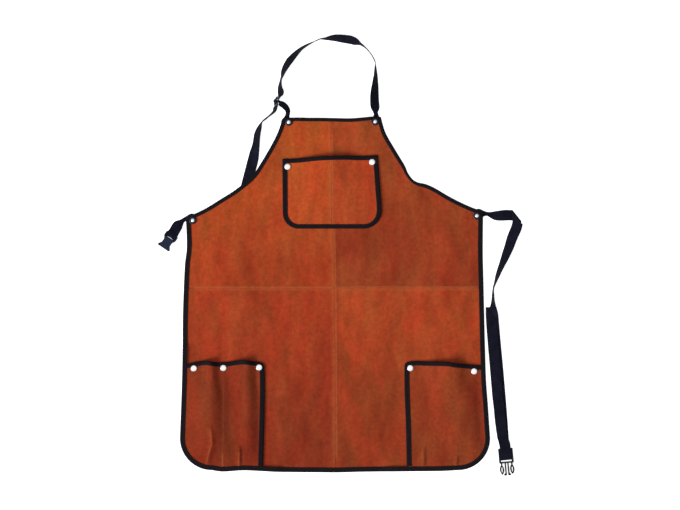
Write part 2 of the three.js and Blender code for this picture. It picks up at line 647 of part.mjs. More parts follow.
// Tape round a pocket, whose legs point straight down from the mouth so that they follow the suede there
function pocketTape(pocket, before, mouth, after, ring) {
  const points = [...before, ...mouth, ...after];
  const onMouth = (i) => i >= before.length && i < before.length + mouth.length;
  const down = new THREE.Vector2(0, -1);
  const mitres = inwardMitres(points, ring).map((mitre, i) => (onMouth(i) ? down : mitre));
  const under = (p) => pocketUnder(pocket, p.x, p.y);
  const bottomAt = (p) => under(p) - GAP - TAPE;
  const topAt = (p) => under(p) + SUEDE + GAP + TAPE;
  return foldedTape(points, mitres, bottomAt, topAt, ring);
}

// Tool and hand pockets, the same but for which side is caught in the hem tape
const LOWER_POCKETS = {
  tool: { side: SIDES.left, inner: graph(TOOL_INNER, "y", "x"), count: 13 },
  hand: { side: SIDES.right, inner: graph(HAND_INNER, "y", "x"), count: 11 },
};
function lowerPocketShape(pocket) {
  const { side, inner, count } = LOWER_POCKETS[pocket];
  const depth = TAPE + EDGE_SLACK;
  const mouth = MOUTHS[pocket](side.sign * 200) - depth;
  const columns = (level) => {
    const bound = inner(level) + side.sign * depth;
    const ends = [side.at(level), bound].sort((a, b) => a - b);
    const row = spread(...ends, count, [EDGE_MARGIN], [EDGE_MARGIN]);
    const rounding = level === mouth ? side.sign * MOUTH_CORNER / 2 : 0;
    row[row.indexOf(bound)] += rounding;
    return row;
  };
  const levels = [mouth, ...hemLevels(side, mouth - EDGE_MARGIN)];
  const rowY = (x, level) => {
    const share = clamp((level - MOUTH_BEND_FROM) / (mouth - MOUTH_BEND_FROM), 0, 1) ** 2;
    return hemBow(x, level) + share * (MOUTHS[pocket](x) - depth - mouth);
  };
  return { levels, columns, rowY };
}
function lowerPocket(pocket) {
  return suedeWall({ ...lowerPocketShape(pocket), under: (x, y) => pocketUnder(pocket, x, y) });
}
function lowerPocketTape(pocket) {
  const { side, inner } = LOWER_POCKETS[pocket];
  const { sign } = side;
  const shape = lowerPocketShape(pocket);
  const mouthY = MOUTHS[pocket];
  const level = shape.levels[0];
  const outerX = side.at(level) - sign * (TAPE_WIDTH - TAPE - EDGE_SLACK + GAP + 0.2);
  const cornerX = inner(level) + sign * MOUTH_CORNER;
  const cornerY = mouthY(cornerX) - MOUTH_CORNER;
  const end = BASE_LEVEL - TAPE - EDGE_SLACK - HEM_BOW + TAPE_WIDTH + GAP + TAPE_END_SLACK;
  const columns = shape.columns(level)
    .filter((x) => sign * x > sign * cornerX + 2 && sign * x < sign * outerX - 2);
  const across = [outerX, ...(sign < 0 ? columns : columns.reverse()), cornerX];
  const mouth = across.map((x) => new THREE.Vector2(x, mouthY(x)));
  const turn = steps(Math.PI / 2, 0, 4).slice(1, -1).map((angle) => new THREE.Vector2(
    cornerX - sign * MOUTH_CORNER * Math.cos(angle),
    cornerY + MOUTH_CORNER * Math.sin(angle),
  ));
  const down = steps(cornerY, end, 6).map((y) => new THREE.Vector2(inner(y), y));
  const rest = [...turn, ...down];
  return sign < 0
    ? pocketTape(pocket, rest.reverse(), mouth.reverse(), [], false)
    : pocketTape(pocket, [], mouth, rest, false);
}

// Rivets turned about their own axis, from the back cap on the floor to the front cap
function turned(profile, rivet) {
  const points = profile.map(([radius, z]) => new THREE.Vector2(radius, z));
  const geometry = new THREE.LatheGeometry(points, RIVET.sides).rotateX(Math.PI / 2);
  return clean(geometry).translate(rivet.x, rivet.y, 0);
}
const rivetFoot = (seat) => [
  [0, 0], [RIVET.back, 0], [RIVET.back, RIVET.backHeight],
  [RIVET.shank, RIVET.backHeight], [RIVET.shank, seat],
];
const cap = ({ radius, rim, height }, seat) => [
  [radius, seat], [radius, seat + rim], [radius * 0.62, seat + height * 0.86], [0, seat + height],
];
function pocketRivet(rivet) {
  const seat = bodyUnder(rivet.x, rivet.y) + SUEDE + GAP + POCKET_SEAT + SUEDE + GAP + TAPE + GAP;
  return turned([...rivetFoot(seat), ...cap(POCKET_CAP, seat)], rivet);
}
const washerSeat = (rivet) => bodyUnder(rivet.x, rivet.y) + SUEDE + GAP + TAPE + GAP;
function strapRivet(rivet) {
  const seat = washerSeat(rivet) + WASHER.height + GAP;
  return turned([...rivetFoot(seat), ...cap(STRAP_CAP, seat)], rivet);
}
function washer(rivet) {
  const seat = washerSeat(rivet);
  const { radius, rim, height, seat: flat } = WASHER;
  const hole = RIVET.hole;
  return turned([
    [hole, seat], [radius, seat], [radius, seat + rim],
    [flat, seat + height], [hole, seat + height], [hole, seat],
  ], rivet);
}

// Webbing: rows give its middle, the direction across it and its width there
function webbing(rows) {
  const { thickness } = WEBBING;
  const sections = rows.map((row, i) => {
    const before = rows[Math.max(i - 1, 0)].centre;
    const after = rows[Math.min(i + 1, rows.length - 1)].centre;
    const normal = after.clone().sub(before).cross(row.across).normalize();
    const corner = (side, face) => row.centre.clone()
      .addScaledVector(row.across, side * row.width / 2)
      .addScaledVector(row.normal ?? normal, face * thickness / 2);
    return [corner(-1, -1), corner(1, -1), corner(1, 1), corner(-1, 1)];
  });
  return loft(sections, [[0, 1, 2], [0, 2, 3]]);
}

// Rows of webbing laid on a surface, from a table of its route
function laid(rows, perRow = 2) {
  const points = rows.map((row) => new THREE.Vector3(row.x, row.y, 0));
  const path = new THREE.CatmullRomCurve3(points, false, "catmullrom", 0.5);
  const between = (t, key) => {
    const place = t * (rows.length - 1);
    const row = Math.min(Math.floor(place), rows.length - 2);
    return lerp(rows[row][key], rows[row + 1][key], place - row);
  };
  return steps(0, 1, (rows.length - 1) * perRow).map((t) => {
    const heading = path.getTangent(t);
    const tilt = THREE.MathUtils.degToRad(between(t, "tilt"));
    const flat = Math.cos(tilt);
    const stand = (WEBBING.width * Math.abs(Math.sin(tilt)) + WEBBING.thickness * Math.abs(flat)) / 2;
    const centre = path.getPoint(t).setZ(between(t, "lift") + stand);
    const across = new THREE.Vector3(-heading.y * flat, heading.x * flat, Math.sin(tilt));
    return { centre, across, width: WEBBING.width };
  });
}

// A piece of hardware's own axes: along its pull, across to the left, and up
function frameOf({ x, y, headingX, headingY }) {
  const along = new THREE.Vector3(headingX, headingY, 0).normalize();
  const left = new THREE.Vector3(-along.y, along.x, 0);
  const matrix = new THREE.Matrix4().makeBasis(along, left, new THREE.Vector3(0, 0, 1)).setPosition(x, y, 0);
  return { along, left, matrix, at: (u, v, z) => new THREE.Vector3(u, v, z).applyMatrix4(matrix) };
}
function box(x0, x1, y0, y1, z0, z1) {
  const geometry = new THREE.BoxGeometry(x1 - x0, y1 - y0, z1 - z0);
  return clean(geometry.translate((x0 + x1) / 2, (y0 + y1) / 2, (z0 + z1) / 2));
}
function plate(shape, z0, z1) {
  const options = { depth: z1 - z0, bevelEnabled: false, curveSegments: 3 };
  return clean(new THREE.ExtrudeGeometry(shape, options).translate(0, 0, z0));
}

// Neck slider, standing on its long edge: a frame with two slots
const sliderFrame = frameOf(SLIDER);
function neckSlider() {
  const { length, width, thickness, bar, slot, corner } = SLIDER;
  const shape = new THREE.Shape();
  shape.absarc(length / 2 - corner, width - corner, corner, 0, Math.PI / 2);
  shape.absarc(-length / 2 + corner, width - corner, corner, Math.PI / 2, Math.PI);
  shape.absarc(-length / 2 + corner, corner, corner, Math.PI, 1.5 * Math.PI);
  shape.absarc(length / 2 - corner, corner, corner, 1.5 * Math.PI, 2 * Math.PI);
  const low = (width - slot) / 2;
  const slotAt = (from, to) => box(from, to, low, low + slot, -thickness, thickness);
  const framed = cut(plate(shape, -thickness / 2, thickness / 2), [
    slotAt(bar / 2, length / 2 - bar),
    slotAt(bar - length / 2, -bar / 2),
  ]);
  return framed.rotateX(Math.PI / 2).applyMatrix4(sliderFrame.matrix);
}

// Rows of webbing standing on edge through the slider, at places given as along and left
const sliderRows = (places) => places.map(({ u, v }) => ({
  centre: sliderFrame.at(u, v, SLIDER.width / 2), across: new THREE.Vector3(0, 0, 1), width: WEBBING.width,
}));

// The long strap crosses one slot, runs over the looped tab and crosses the other
function sliderWeave() {
  const beside = SLIDER.thickness / 2 + GAP + WEBBING.thickness / 2;
  const weave = (u) => lerp(-SLIDER.over, beside, smoothstep(Math.abs(u), 3.2, 6.2));
  return sliderRows(steps(-8, 8, 14).map((u) => ({ u, v: weave(u) })));
}

// The tab goes round the middle bar and comes back beside itself
function sliderLoop() {
  const beside = (WEBBING.thickness + GAP) / 2 + 0.05;
  const around = steps(0, Math.PI, 8).map((angle) =>
    ({ u: SLIDER.loop * Math.cos(angle), v: -0.3 - SLIDER.loop * Math.sin(angle) }));
  const legs = (side) => [{ u: side * 1.3, v: 4 }, { u: side * 2.1, v: 2 }];
  return sliderRows([
    { u: beside, v: 9 }, { u: beside, v: 6 }, ...legs(1), ...around,
    ...legs(-1).reverse(), { u: -beside, v: 6 }, { u: -beside, v: 11 },
  ]);
}

function neckStrap() {
  return webbing([...laid(NECK_STRAP), ...sliderWeave(), ...laid(NECK_TAIL)]);
}
function neckTab() {
  return webbing([...laid(NECK_TAB, 3), ...sliderLoop()]);
}

// Rows round a bar of the buckle: from over it to under it, or from under it to over it
function barRows(frame, centreU, centreZ, barHeight, fromOver) {
  const radius = barHeight / 2 + GAP + WEBBING.thickness / 2;
  const start = fromOver ? radius : -radius;
  return steps(0, Math.PI, 6).map((angle) => ({
    centre: frame.at(centreU + radius * Math.sin(angle), 0, centreZ + start * Math.cos(angle)),
    across: frame.left.clone(),
    width: WEBBING.width,
  }));
}
const flatRows = (frame, places) => places.map(({ u, z, v = 0 }) => ({
  centre: frame.at(u, v, z), across: frame.left.clone(), width: WEBBING.width,
}));

// Left waist strap, sewn back under itself round the bar of the socket
const socketFrame = frameOf(SOCKET);
const SOCKET_BAR_Z = SOCKET.height / 2;
function waistStrapLeft() {
  const half = SOCKET.barHeight / 2 + GAP + WEBBING.thickness / 2;
  return webbing([
    ...laid(WAIST_LEFT, 3),
    ...flatRows(socketFrame, [{ u: -2, z: SOCKET_BAR_Z + half - 0.4 }]),
    ...barRows(socketFrame, SOCKET.bar - 0.7, SOCKET_BAR_Z, SOCKET.barHeight, true),
    ...flatRows(socketFrame, [{ u: -1.5, z: 1.5 }, { u: -5, z: 0.8 }]),
  ]);
}

function buckleSocket() {
  const { length, height, shoulder, waist, mouth, bar, barHeight, slot } = SOCKET;
  const { cavityWidth, cavityHeight, cavityDepth } = SOCKET;
  const neck = bar + slot;
  const outline = new THREE.Shape();
  outline.moveTo(0, -shoulder / 2 + 3);
  outline.quadraticCurveTo(0, -shoulder / 2, 3, -shoulder / 2);
  outline.lineTo(neck, -shoulder / 2);
  outline.bezierCurveTo(neck + 6, -waist / 2, length - 8, -waist / 2, length - 2, -mouth / 2);
  outline.lineTo(length, -mouth / 2 + 1);
  outline.lineTo(length, mouth / 2 - 1);
  outline.lineTo(length - 2, mouth / 2);
  outline.bezierCurveTo(length - 8, waist / 2, neck + 6, waist / 2, neck, shoulder / 2);
  outline.lineTo(3, shoulder / 2);
  outline.quadraticCurveTo(0, shoulder / 2, 0, shoulder / 2 - 3);
  const side = WEBBING.width / 2 + 0.5;
  const low = (height - barHeight) / 2;
  const cavityLow = (height - cavityHeight) / 2;
  return cut(plate(outline, 0, height), [
    box(bar, neck, -side, side, -1, height + 1),
    box(-1, bar + 1, -side, side, -1, low),
    box(-1, bar + 1, -side, side, height - low, height + 1),
    box(length - cavityDepth, length + 1, -cavityWidth / 2, cavityWidth / 2, cavityLow, height - cavityLow),
  ]).applyMatrix4(socketFrame.matrix);
}

// Right waist strap: a diagonal fold, the drop to the buckle, round its bar and back on top of itself
const prongsFrame = frameOf(PRONGS);
const PRONGS_BAR_Z = 3.2;
function foldRows(fold, heading) {
  const turnedTo = new THREE.Vector3(fold.heading.x, fold.heading.y, 0).normalize();
  const crease = heading.clone().add(turnedTo).normalize();
  const outward = heading.clone().sub(turnedTo).normalize();
  const sine = heading.dot(outward);
  const slide = heading.dot(crease) / sine;
  return steps(0, Math.PI, 6).map((angle) => {
    const middle = new THREE.Vector3(fold.x, fold.y, WEBBING.thickness / 2);
    middle.addScaledVector(crease, fold.radius * (angle - Math.PI / 2) * slide);
    middle.addScaledVector(outward, fold.radius * Math.sin(angle));
    middle.z += fold.radius * (1 - Math.cos(angle));
    const normal = outward.clone().multiplyScalar(-Math.sin(angle));
    normal.z = Math.cos(angle);
    return { centre: middle, across: crease.clone().negate(), width: WEBBING.width / sine, normal };
  });
}
function waistStrapRight() {
  const heading = new THREE.Vector3(1, 0, 0);
  const flipped = (rows) => rows.map((row) => ({ ...row, across: row.across.clone().negate() }));
  const over = PRONGS_BAR_Z + PRONGS.barHeight / 2 + GAP + WEBBING.thickness / 2;
  const turn = PRONGS.secondBar + PRONGS.bar - 0.3;
  return webbing([
    ...laid(WAIST_RIGHT, 3),
    ...foldRows(WAIST_FOLD, heading),
    ...flipped(laid(WAIST_DROP)),
    ...flipped(flatRows(prongsFrame, [{ u: -5, z: 0.7 }, { u: 6, z: 0.7 }, { u: 14, z: 0.7 }])),
    ...flipped(barRows(prongsFrame, turn, PRONGS_BAR_Z, PRONGS.barHeight, false)),
    ...flipped(flatRows(prongsFrame, [{ u: 8, z: over }, { u: -1.5, z: over }, { u: -10, z: over - 1.6 }])),
    ...laid(WAIST_TAIL),
  ]);
}

function buckleProngs() {
  const p = PRONGS;
  const half = p.width / 2;
  const inside = half - p.rail;
  const barLow = PRONGS_BAR_Z - p.barHeight / 2;
  const barTop = PRONGS_BAR_Z + p.barHeight / 2;
  const pieces = [box(p.crossFrom, p.crossTo, -half, half, 0, p.height)];
  for (const from of [0, p.secondBar]) pieces.push(box(from, from + p.bar, -half, half, barLow, barTop));
  for (const sign of [-1, 1]) {
    const [near, far] = sign < 0 ? [-half, -inside] : [inside, half];
    pieces.push(box(0, p.crossTo, near, far, 0, p.height));
    pieces.push(centreRod(sign), springArm(sign));
  }
  return joined(pieces).applyMatrix4(prongsFrame.matrix);
}
function centreRod(sign) {
  const { rodOffset, rodWidth, rodTo, footWidth, crossTo, prongHeight } = PRONGS;
  const shape = new THREE.Shape();
  const at = (v) => sign * v;
  shape.moveTo(crossTo - 0.5, at(rodOffset - rodWidth / 2));
  shape.lineTo(rodTo, at(rodOffset - rodWidth / 2));
  shape.lineTo(rodTo, at(rodOffset + footWidth));
  shape.lineTo(rodTo - 1.6, at(rodOffset + footWidth));
  shape.lineTo(rodTo - 4, at(rodOffset + rodWidth / 2));
  shape.lineTo(crossTo - 0.5, at(rodOffset + rodWidth / 2));
  return plate(shape, 0.5, 0.5 + prongHeight);
}
function springArm(sign) {
  const { armOffset, armWidth, loopFrom, loopTo, loopHalf, crossTo, prongHeight } = PRONGS;
  const at = (v) => sign * (armOffset + v);
  const middle = lerp(loopFrom, loopTo, 0.45);
  const leaf = (path, from, to, half) => {
    const [first, second] = [at(-sign * half), at(sign * half)];
    path.moveTo(from, at(0));
    path.quadraticCurveTo(middle - 4, first, middle, first);
    path.quadraticCurveTo(middle + 5, first, to, at(0));
    path.quadraticCurveTo(middle + 5, second, middle, second);
    path.quadraticCurveTo(middle - 4, second, from, at(0));
    return path;
  };
  const ring = leaf(new THREE.Shape(), loopFrom - 1, loopTo, loopHalf);
  ring.holes.push(leaf(new THREE.Path(), loopFrom + 2.2, loopTo - 3, loopHalf - armWidth));
  const [a, b] = [at(-armWidth / 2), at(armWidth / 2)].sort((m, n) => m - n);
  const [low, high] = [0.5, 0.5 + prongHeight];
  return joined([plate(ring, low, high), box(crossTo - 0.5, loopFrom + 1.6, a, b, low, high)]);
}

// The assembly
const apron = new THREE.Group();
function add(name, geometry, colour) {
  const mesh = new THREE.Mesh(geometry, new THREE.MeshStandardMaterial(COLOURS[colour]));
  mesh.name = name;
  apron.add(mesh);
}
const ALL_RIVETS = [...STRAP_RIVETS, ...POCKET_RIVETS];
const rivetsFor = (...words) => ALL_RIVETS.filter(({ name }) => words.some((word) => name.startsWith(word)));

for (const side of ["left", "right"]) {
  const rivets = rivetsFor(`neck_${side}`, `waist_${side}`, `chest_${side}`);
  const colour = side === "left" ? "suedeLight" : "suedeMid";
  add(`panel_upper_${side}`, drilled(upperPanel(SIDES[side]), rivets), colour);
}
add("panel_lower_left", drilled(lowerPanel(SIDES.left), rivetsFor("tool")), "suedeMid");
add("panel_lower_right", drilled(lowerPanel(SIDES.right), rivetsFor("hand")), "suedeMid");
add("binding_bib_top", drilled(edgeTape("bibTop"), rivetsFor("neck")), "tape");
add("binding_armhole_left", drilled(edgeTape("armholeLeft"), STRAP_RIVETS), "tape");
add("binding_armhole_right", drilled(edgeTape("armholeRight"), STRAP_RIVETS), "tape");
add("binding_hem", drilled(edgeTape("hem"), rivetsFor("waist")), "tape");

add("chest_pocket_left", drilled(chestHalf("left"), rivetsFor("chest")), "suedeLight");
add("chest_pocket_right", drilled(chestHalf("right"), rivetsFor("chest")), "suedeMid");
add("chest_pocket_binding", drilled(chestTape(), rivetsFor("chest")), "tape");
for (const pocket of Object.keys(LOWER_POCKETS)) {
  const rivets = rivetsFor(pocket);
  add(`${pocket}_pocket`, drilled(lowerPocket(pocket), rivets), "suedeDark");
  add(`${pocket}_pocket_binding`, drilled(lowerPocketTape(pocket), rivets), "tape");
}

for (const rivet of POCKET_RIVETS) add(`rivet_${rivet.name}`, pocketRivet(rivet), "nickel");
for (const rivet of STRAP_RIVETS) {
  add(`rivet_${rivet.name}`, strapRivet(rivet), "nickel");
  add(`washer_${rivet.name}`, washer(rivet), "blackMetal");
}

add("neck_strap", drilled(neckStrap(), rivetsFor("neck_right")), "webbing");
add("neck_tab", drilled(neckTab(), rivetsFor("neck_left")), "webbing");
add("neck_slider", neckSlider(), "plastic");
add("waist_strap_left", drilled(waistStrapLeft(), rivetsFor("waist_left")), "webbing");
add("waist_strap_right", drilled(waistStrapRight(), rivetsFor("waist_right")), "webbing");
add("buckle_socket", buckleSocket(), "plastic");
add("buckle_prongs", buckleProngs(), "plastic");

const bounds = new THREE.Box3().setFromObject(apron);
const middle = bounds.getCenter(new THREE.Vector3());
apron.position.set(-middle.x, -middle.y, -bounds.min.z);

export default apron;
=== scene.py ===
"""Suede work apron with webbing straps, lying flat with its front up.

Every surface is worked out in layout millimetres, measured from the crossing of the two body seams with
+Y towards the bib and +Z up. A surface moves into the row frame, in metres, as it becomes a mesh.
"""

from __future__ import annotations

import json
import logging
import math
from dataclasses import dataclass, field
from enum import Enum
from typing import Callable, Sequence

import bmesh
import bpy
import numpy as np
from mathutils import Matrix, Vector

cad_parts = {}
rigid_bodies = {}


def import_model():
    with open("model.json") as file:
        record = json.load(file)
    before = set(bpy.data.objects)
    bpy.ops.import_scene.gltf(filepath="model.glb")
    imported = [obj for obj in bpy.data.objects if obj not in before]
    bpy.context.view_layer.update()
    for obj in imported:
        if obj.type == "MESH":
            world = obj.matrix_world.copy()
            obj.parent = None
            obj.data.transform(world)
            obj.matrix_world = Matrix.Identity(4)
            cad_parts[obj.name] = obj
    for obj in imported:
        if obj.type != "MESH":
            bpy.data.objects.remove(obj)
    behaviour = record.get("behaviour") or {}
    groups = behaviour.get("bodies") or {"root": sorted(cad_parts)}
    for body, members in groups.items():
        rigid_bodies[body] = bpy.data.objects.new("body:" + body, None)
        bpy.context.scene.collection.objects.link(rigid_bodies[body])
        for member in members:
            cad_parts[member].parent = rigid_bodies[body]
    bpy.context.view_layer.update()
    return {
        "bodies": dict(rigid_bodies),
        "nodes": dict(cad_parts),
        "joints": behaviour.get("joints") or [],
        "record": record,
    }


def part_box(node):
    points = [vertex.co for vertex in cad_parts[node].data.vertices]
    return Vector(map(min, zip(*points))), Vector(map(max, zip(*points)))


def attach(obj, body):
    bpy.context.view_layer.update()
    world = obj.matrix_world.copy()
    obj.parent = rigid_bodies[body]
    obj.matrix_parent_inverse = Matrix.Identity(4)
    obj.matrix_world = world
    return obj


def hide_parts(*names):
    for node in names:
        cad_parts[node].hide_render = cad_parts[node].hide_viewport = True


Array = np.ndarray
Pair = tuple[float, float]
Triple = tuple[float, float, float]
Colour = Triple
Table = tuple[tuple[float, ...], ...]
Socket = bpy.types.NodeSocket
NodeTree = bpy.types.NodeTree
Plan = Callable[[Array, Array], Array]
LOG = logging.getLogger("apron")
MM = 0.001
BODY = "root"
WELD = 2e-6
FLAT_ANGLE = math.radians(2)
SHARP_ANGLE = math.radians(25)
ROUNDING_STEPS = 3


class Side(Enum):
    """The two sides of the apron as a viewer of its front sees them."""

    LEFT = -1
    RIGHT = 1

    @property
    def word(self) -> str:
        """Lower-case name, as the nodes spell it."""
        return self.name.lower()


class Stretch(Enum):
    """The four lengths of edge tape, in their order round the body."""

    HEM = "binding_hem"
    ARMHOLE_RIGHT = "binding_armhole_right"
    BIB_TOP = "binding_bib_top"
    ARMHOLE_LEFT = "binding_armhole_left"


class Pocket(Enum):
    """The three pockets."""

    CHEST = "chest"
    TOOL = "tool"
    HAND = "hand"


class Held(Enum):
    """How a sheet of cloth lies."""

    LAID = "laid"
    FOLDED = "folded"


# Numbers and curves


def smoothstep(value: Array, low: float, high: float) -> Array:
    """Ease 3t^2 - 2t^3, from 0 at low to 1 at high."""
    t = np.clip((value - low) / (high - low), 0.0, 1.0)
    return t * t * (3.0 - 2.0 * t)


def lerp(start: Array | float, end: Array | float, share: Array | float) -> Array:
    """Straight blend from start to end."""
    return start + (end - start) * share


def unit(vectors: Array) -> Array:
    """Vectors of length one along the last axis."""
    return vectors / np.maximum(np.linalg.norm(vectors, axis=-1, keepdims=True), 1e-12)


def catmull_rom(points: Sequence[Sequence[float]], per_span: int = 24, free_ends: bool = False) -> Array:
    """Curve through a table's rows, each span a cubic with slopes (p2 - p0) / 2 and (p3 - p1) / 2.

    Args:
        points: The rows that the curve goes through.
        per_span: Steps between two rows.
        free_ends: True where the ends run on straight, False where they repeat their last row.

    Returns:
        The curve's points, one row each.
    """
    rows = np.asarray(points, float)
    before = 2 * rows[0] - rows[1] if free_ends else rows[0]
    after = 2 * rows[-1] - rows[-2] if free_ends else rows[-1]
    knots = np.vstack([before, rows, after])
    spans = len(rows) - 1
    place = np.linspace(0, spans, spans * per_span + 1)
    index = np.minimum(place.astype(int), spans - 1)
    t = (place - index)[:, None]
    p0, p1, p2, p3 = (knots[index + k] for k in range(4))
    start, end = (p2 - p0) / 2, (p3 - p1) / 2
    cubic = (2 * p1 - 2 * p2 + start + end) * t**3
    return cubic + (3 * p2 - 3 * p1 - 2 * start - end) * t**2 + start * t + p1


def run_length(path: Array) -> Array:
    """Length along a path up to each of its rows."""
    steps = np.linalg.norm(np.diff(path, axis=0), axis=1)
    return np.concatenate([[0.0], np.cumsum(steps)])


def sampled(table: Array, run: Array, lengths: Array) -> Array:
    """A table's rows at lengths along a run, for an array of any shape."""
    return np.stack([np.interp(lengths, run, column) for column in table.T], axis=-1)


def at_lengths(path: Array, lengths: Array) -> Array:
    """Points of a path at lengths along it, for an array of any shape."""
    return sampled(path, run_length(path), lengths)


def even(path: Array, pitch: float) -> Array:
    """The path again, with equal steps of about the pitch."""
    total = run_length(path)[-1]
    return at_lengths(path, np.linspace(0.0, total, max(int(math.ceil(total / pitch)), 1) + 1))


def arc(centre: Sequence[float], radius: float, start_deg: float, end_deg: float, count: int = 48) -> Array:
    """Points of a circular arc."""
    angle = np.radians(np.linspace(start_deg, end_deg, count + 1))
    return np.stack([centre[0] + radius * np.cos(angle), centre[1] + radius * np.sin(angle)], axis=1)


def inward_mitres(path: Array, closed: bool) -> Array:
    """Vectors that inset a counter-clockwise path by one unit: (n1 + n2) / (1 + n1.n2) of its two normals.

    Args:
        path: Points in plan.
        closed: True where the last point joins the first.

    Returns:
        One vector to each point.
    """
    step = np.roll(path, -1, axis=0) - path
    after = unit(np.stack([-step[:, 1], step[:, 0]], axis=1))
    before = np.roll(after, 1, axis=0)
    if not closed:
        after[-1] = after[-2]
        before[0] = after[0]
    return (before + after) / (1.0 + np.sum(before * after, axis=1, keepdims=True))


def graph(rows: Sequence[Sequence[float]], key: int, value: int) -> Callable[[Array], Array]:
    """One coordinate of a smooth line as a function of the other.

    Args:
        rows: The points that the line goes through.
        key: The coordinate to read at.
        value: The coordinate to give.

    Returns:
        The function.
    """
    line = catmull_rom(rows)
    line = line[np.argsort(line[:, key], kind="stable")]
    return lambda place: np.interp(place, line[:, key], line[:, value])


def rim(distance: Array, radius: float) -> Array:
    """Share of a sheet's thickness near its edge: a quarter circle of the radius given."""
    t = np.clip(distance / radius, 0.0, 1.0)
    return np.sqrt(1.0 - (1.0 - t) ** 2)


def bell(distance: Array, width: float) -> Array:
    """Bell curve exp(-(d / width)^2)."""
    return np.exp(-((distance / width) ** 2))


RIM_STEPS = np.array([0.0, 0.07, 0.28, 0.62])


def stations(length: float, pitch: float, radius: float) -> Array:
    """Places from 0 to length about a pitch apart, with more of them in the two rounded rims."""
    inside = np.linspace(radius, length - radius, int(math.ceil((length - 2 * radius) / pitch)) + 1)
    return np.concatenate([radius * RIM_STEPS, inside, (length - radius * RIM_STEPS)[::-1]])


def rimmed(run: Array, radius: float) -> Array:
    """Lengths along a run with more of them in the rounded rims at both ends."""
    extra = radius * RIM_STEPS[1:]
    return np.unique(np.concatenate([run, extra, run[-1] - extra]))


def wave_field(x: Array, y: Array, seed: int, wavelength: float, count: int = 22) -> Array:
    """Soft irregular waves between about -1 and 1: a sum of cosines with seeded directions and phases.

    Args:
        x: Places across.
        y: Places along.
        seed: Start of the random draws.
        wavelength: Middle wavelength in millimetres.
        count: Number of cosines.

    Returns:
        The waves' value at each place.
    """
    draw = np.random.default_rng(seed)
    turn = draw.uniform(0.0, 2 * math.pi, count)
    number = 2 * math.pi / (wavelength * draw.uniform(0.6, 1.7, count))
    phase = draw.uniform(0.0, 2 * math.pi, count)
    angle = np.multiply.outer(x, number * np.cos(turn)) + np.multiply.outer(y, number * np.sin(turn))
    return np.cos(angle + phase).sum(axis=-1) / math.sqrt(count)


# Layers of the apron


@dataclass(frozen=True)
class Layers:
    """Thicknesses, widths and clearances of the layers, in millimetres."""

    suede: float = 1.6
    tape: float = 0.8
    tape_width: float = 9.4
    webbing: float = 1.4
    webbing_width: float = 20.6
    gap: float = 0.3
    edge_slack: float = 0.9
    seam_gap: float = -0.16

    @property
    def pocket_seat(self) -> float:
        """Height of a pocket over the body where its tape runs between them."""
        return self.tape + self.gap

    @property
    def edge_depth(self) -> float:
        """How far a suede edge stays inside the outer fold of its tape."""
        return self.tape + self.edge_slack


LAYERS = Layers()
STRAP_RIVETS = {
    "neck_left": (-87.6, 314.6),
    "neck_right": (76.2, 315.4),
    "waist_left": (-269.6, 128.4),
    "waist_right": (268.9, 137.0),
}


# Meshes from arrays


def rounded_levels(low: float, turn: float, top: float, pitch: float, count: int) -> Array:
    """Levels from a round-cornered bottom, where they crowd, up to a rounded rim.

    Args:
        low: Level of the bottom.
        turn: Level where the round corners end.
        top: Level of the rim.
        pitch: Step between levels over the corners.
        count: Levels round a corner.

    Returns:
        The levels.
    """
    corner = turn - (turn - low) * np.cos(np.linspace(0.0, math.pi / 2, count))
    straight = turn + stations(top - turn, pitch, LAYERS.suede / 2)[len(RIM_STEPS) :]
    return np.concatenate([corner[:-1], straight])


def spread(level: Array, outer: Array, inner: Array, columns: int) -> tuple[Array, Array, Array]:
    """Columns of a suede sheet over rows between two edges, with more of them in the rounded edges.

    Args:
        level: Height of each row on the layout.
        outer: Where each row starts.
        inner: Where each row ends.
        columns: Steps across.

    Returns:
        Grids of x, of the level and of the share of the full thickness.
    """
    radius = LAYERS.suede / 2
    width = np.abs(inner - outer)[:, None]
    across = stations(1.0, 1.0 / columns, radius / float(width.max()))[None, :]
    x = lerp(outer[:, None], inner[:, None], across)
    ends = rim(np.minimum(level - level[0], level[-1] - level), radius)
    profile = rim(width * np.minimum(across, 1 - across), radius) * ends[:, None]
    return x, np.broadcast_to(level[:, None], x.shape), profile


def quads(index: Array) -> Array:
    """Four corners of every cell of a grid of vertex numbers."""
    corners = [index[:-1, :-1], index[:-1, 1:], index[1:, 1:], index[1:, :-1]]
    return np.stack(corners, axis=-1).reshape(-1, 4)


def fans(grid: Array, pole: int) -> Array:
    """Triangles that close a wrapped grid: its first row to one pole, its last row to the next number."""
    ends = ((pole, grid[0, 1:], grid[0, :-1]), (pole + 1, grid[-1, :-1], grid[-1, 1:]))
    return np.concatenate([np.stack([np.full(len(a), tip), a, b], axis=1) for tip, a, b in ends])


def signed_volume(points: Array, faces: Array) -> float:
    """Six times the volume that a mesh encloses, negative where its faces point inwards.

    Args:
        points: Corners, rows by 3.
        faces: Corner numbers of triangles or of quads.

    Returns:
        The sum of a.(b x c) over all triangles.
    """
    a, b, c = points[faces[:, 0]], points[faces[:, 1]], points[faces[:, 2]]
    volume = np.einsum("ij,ij->", a, np.cross(b, c))
    if faces.shape[1] == 4:
        d = points[faces[:, 3]]
        volume += np.einsum("ij,ij->", a, np.cross(c, d))
    return float(volume)


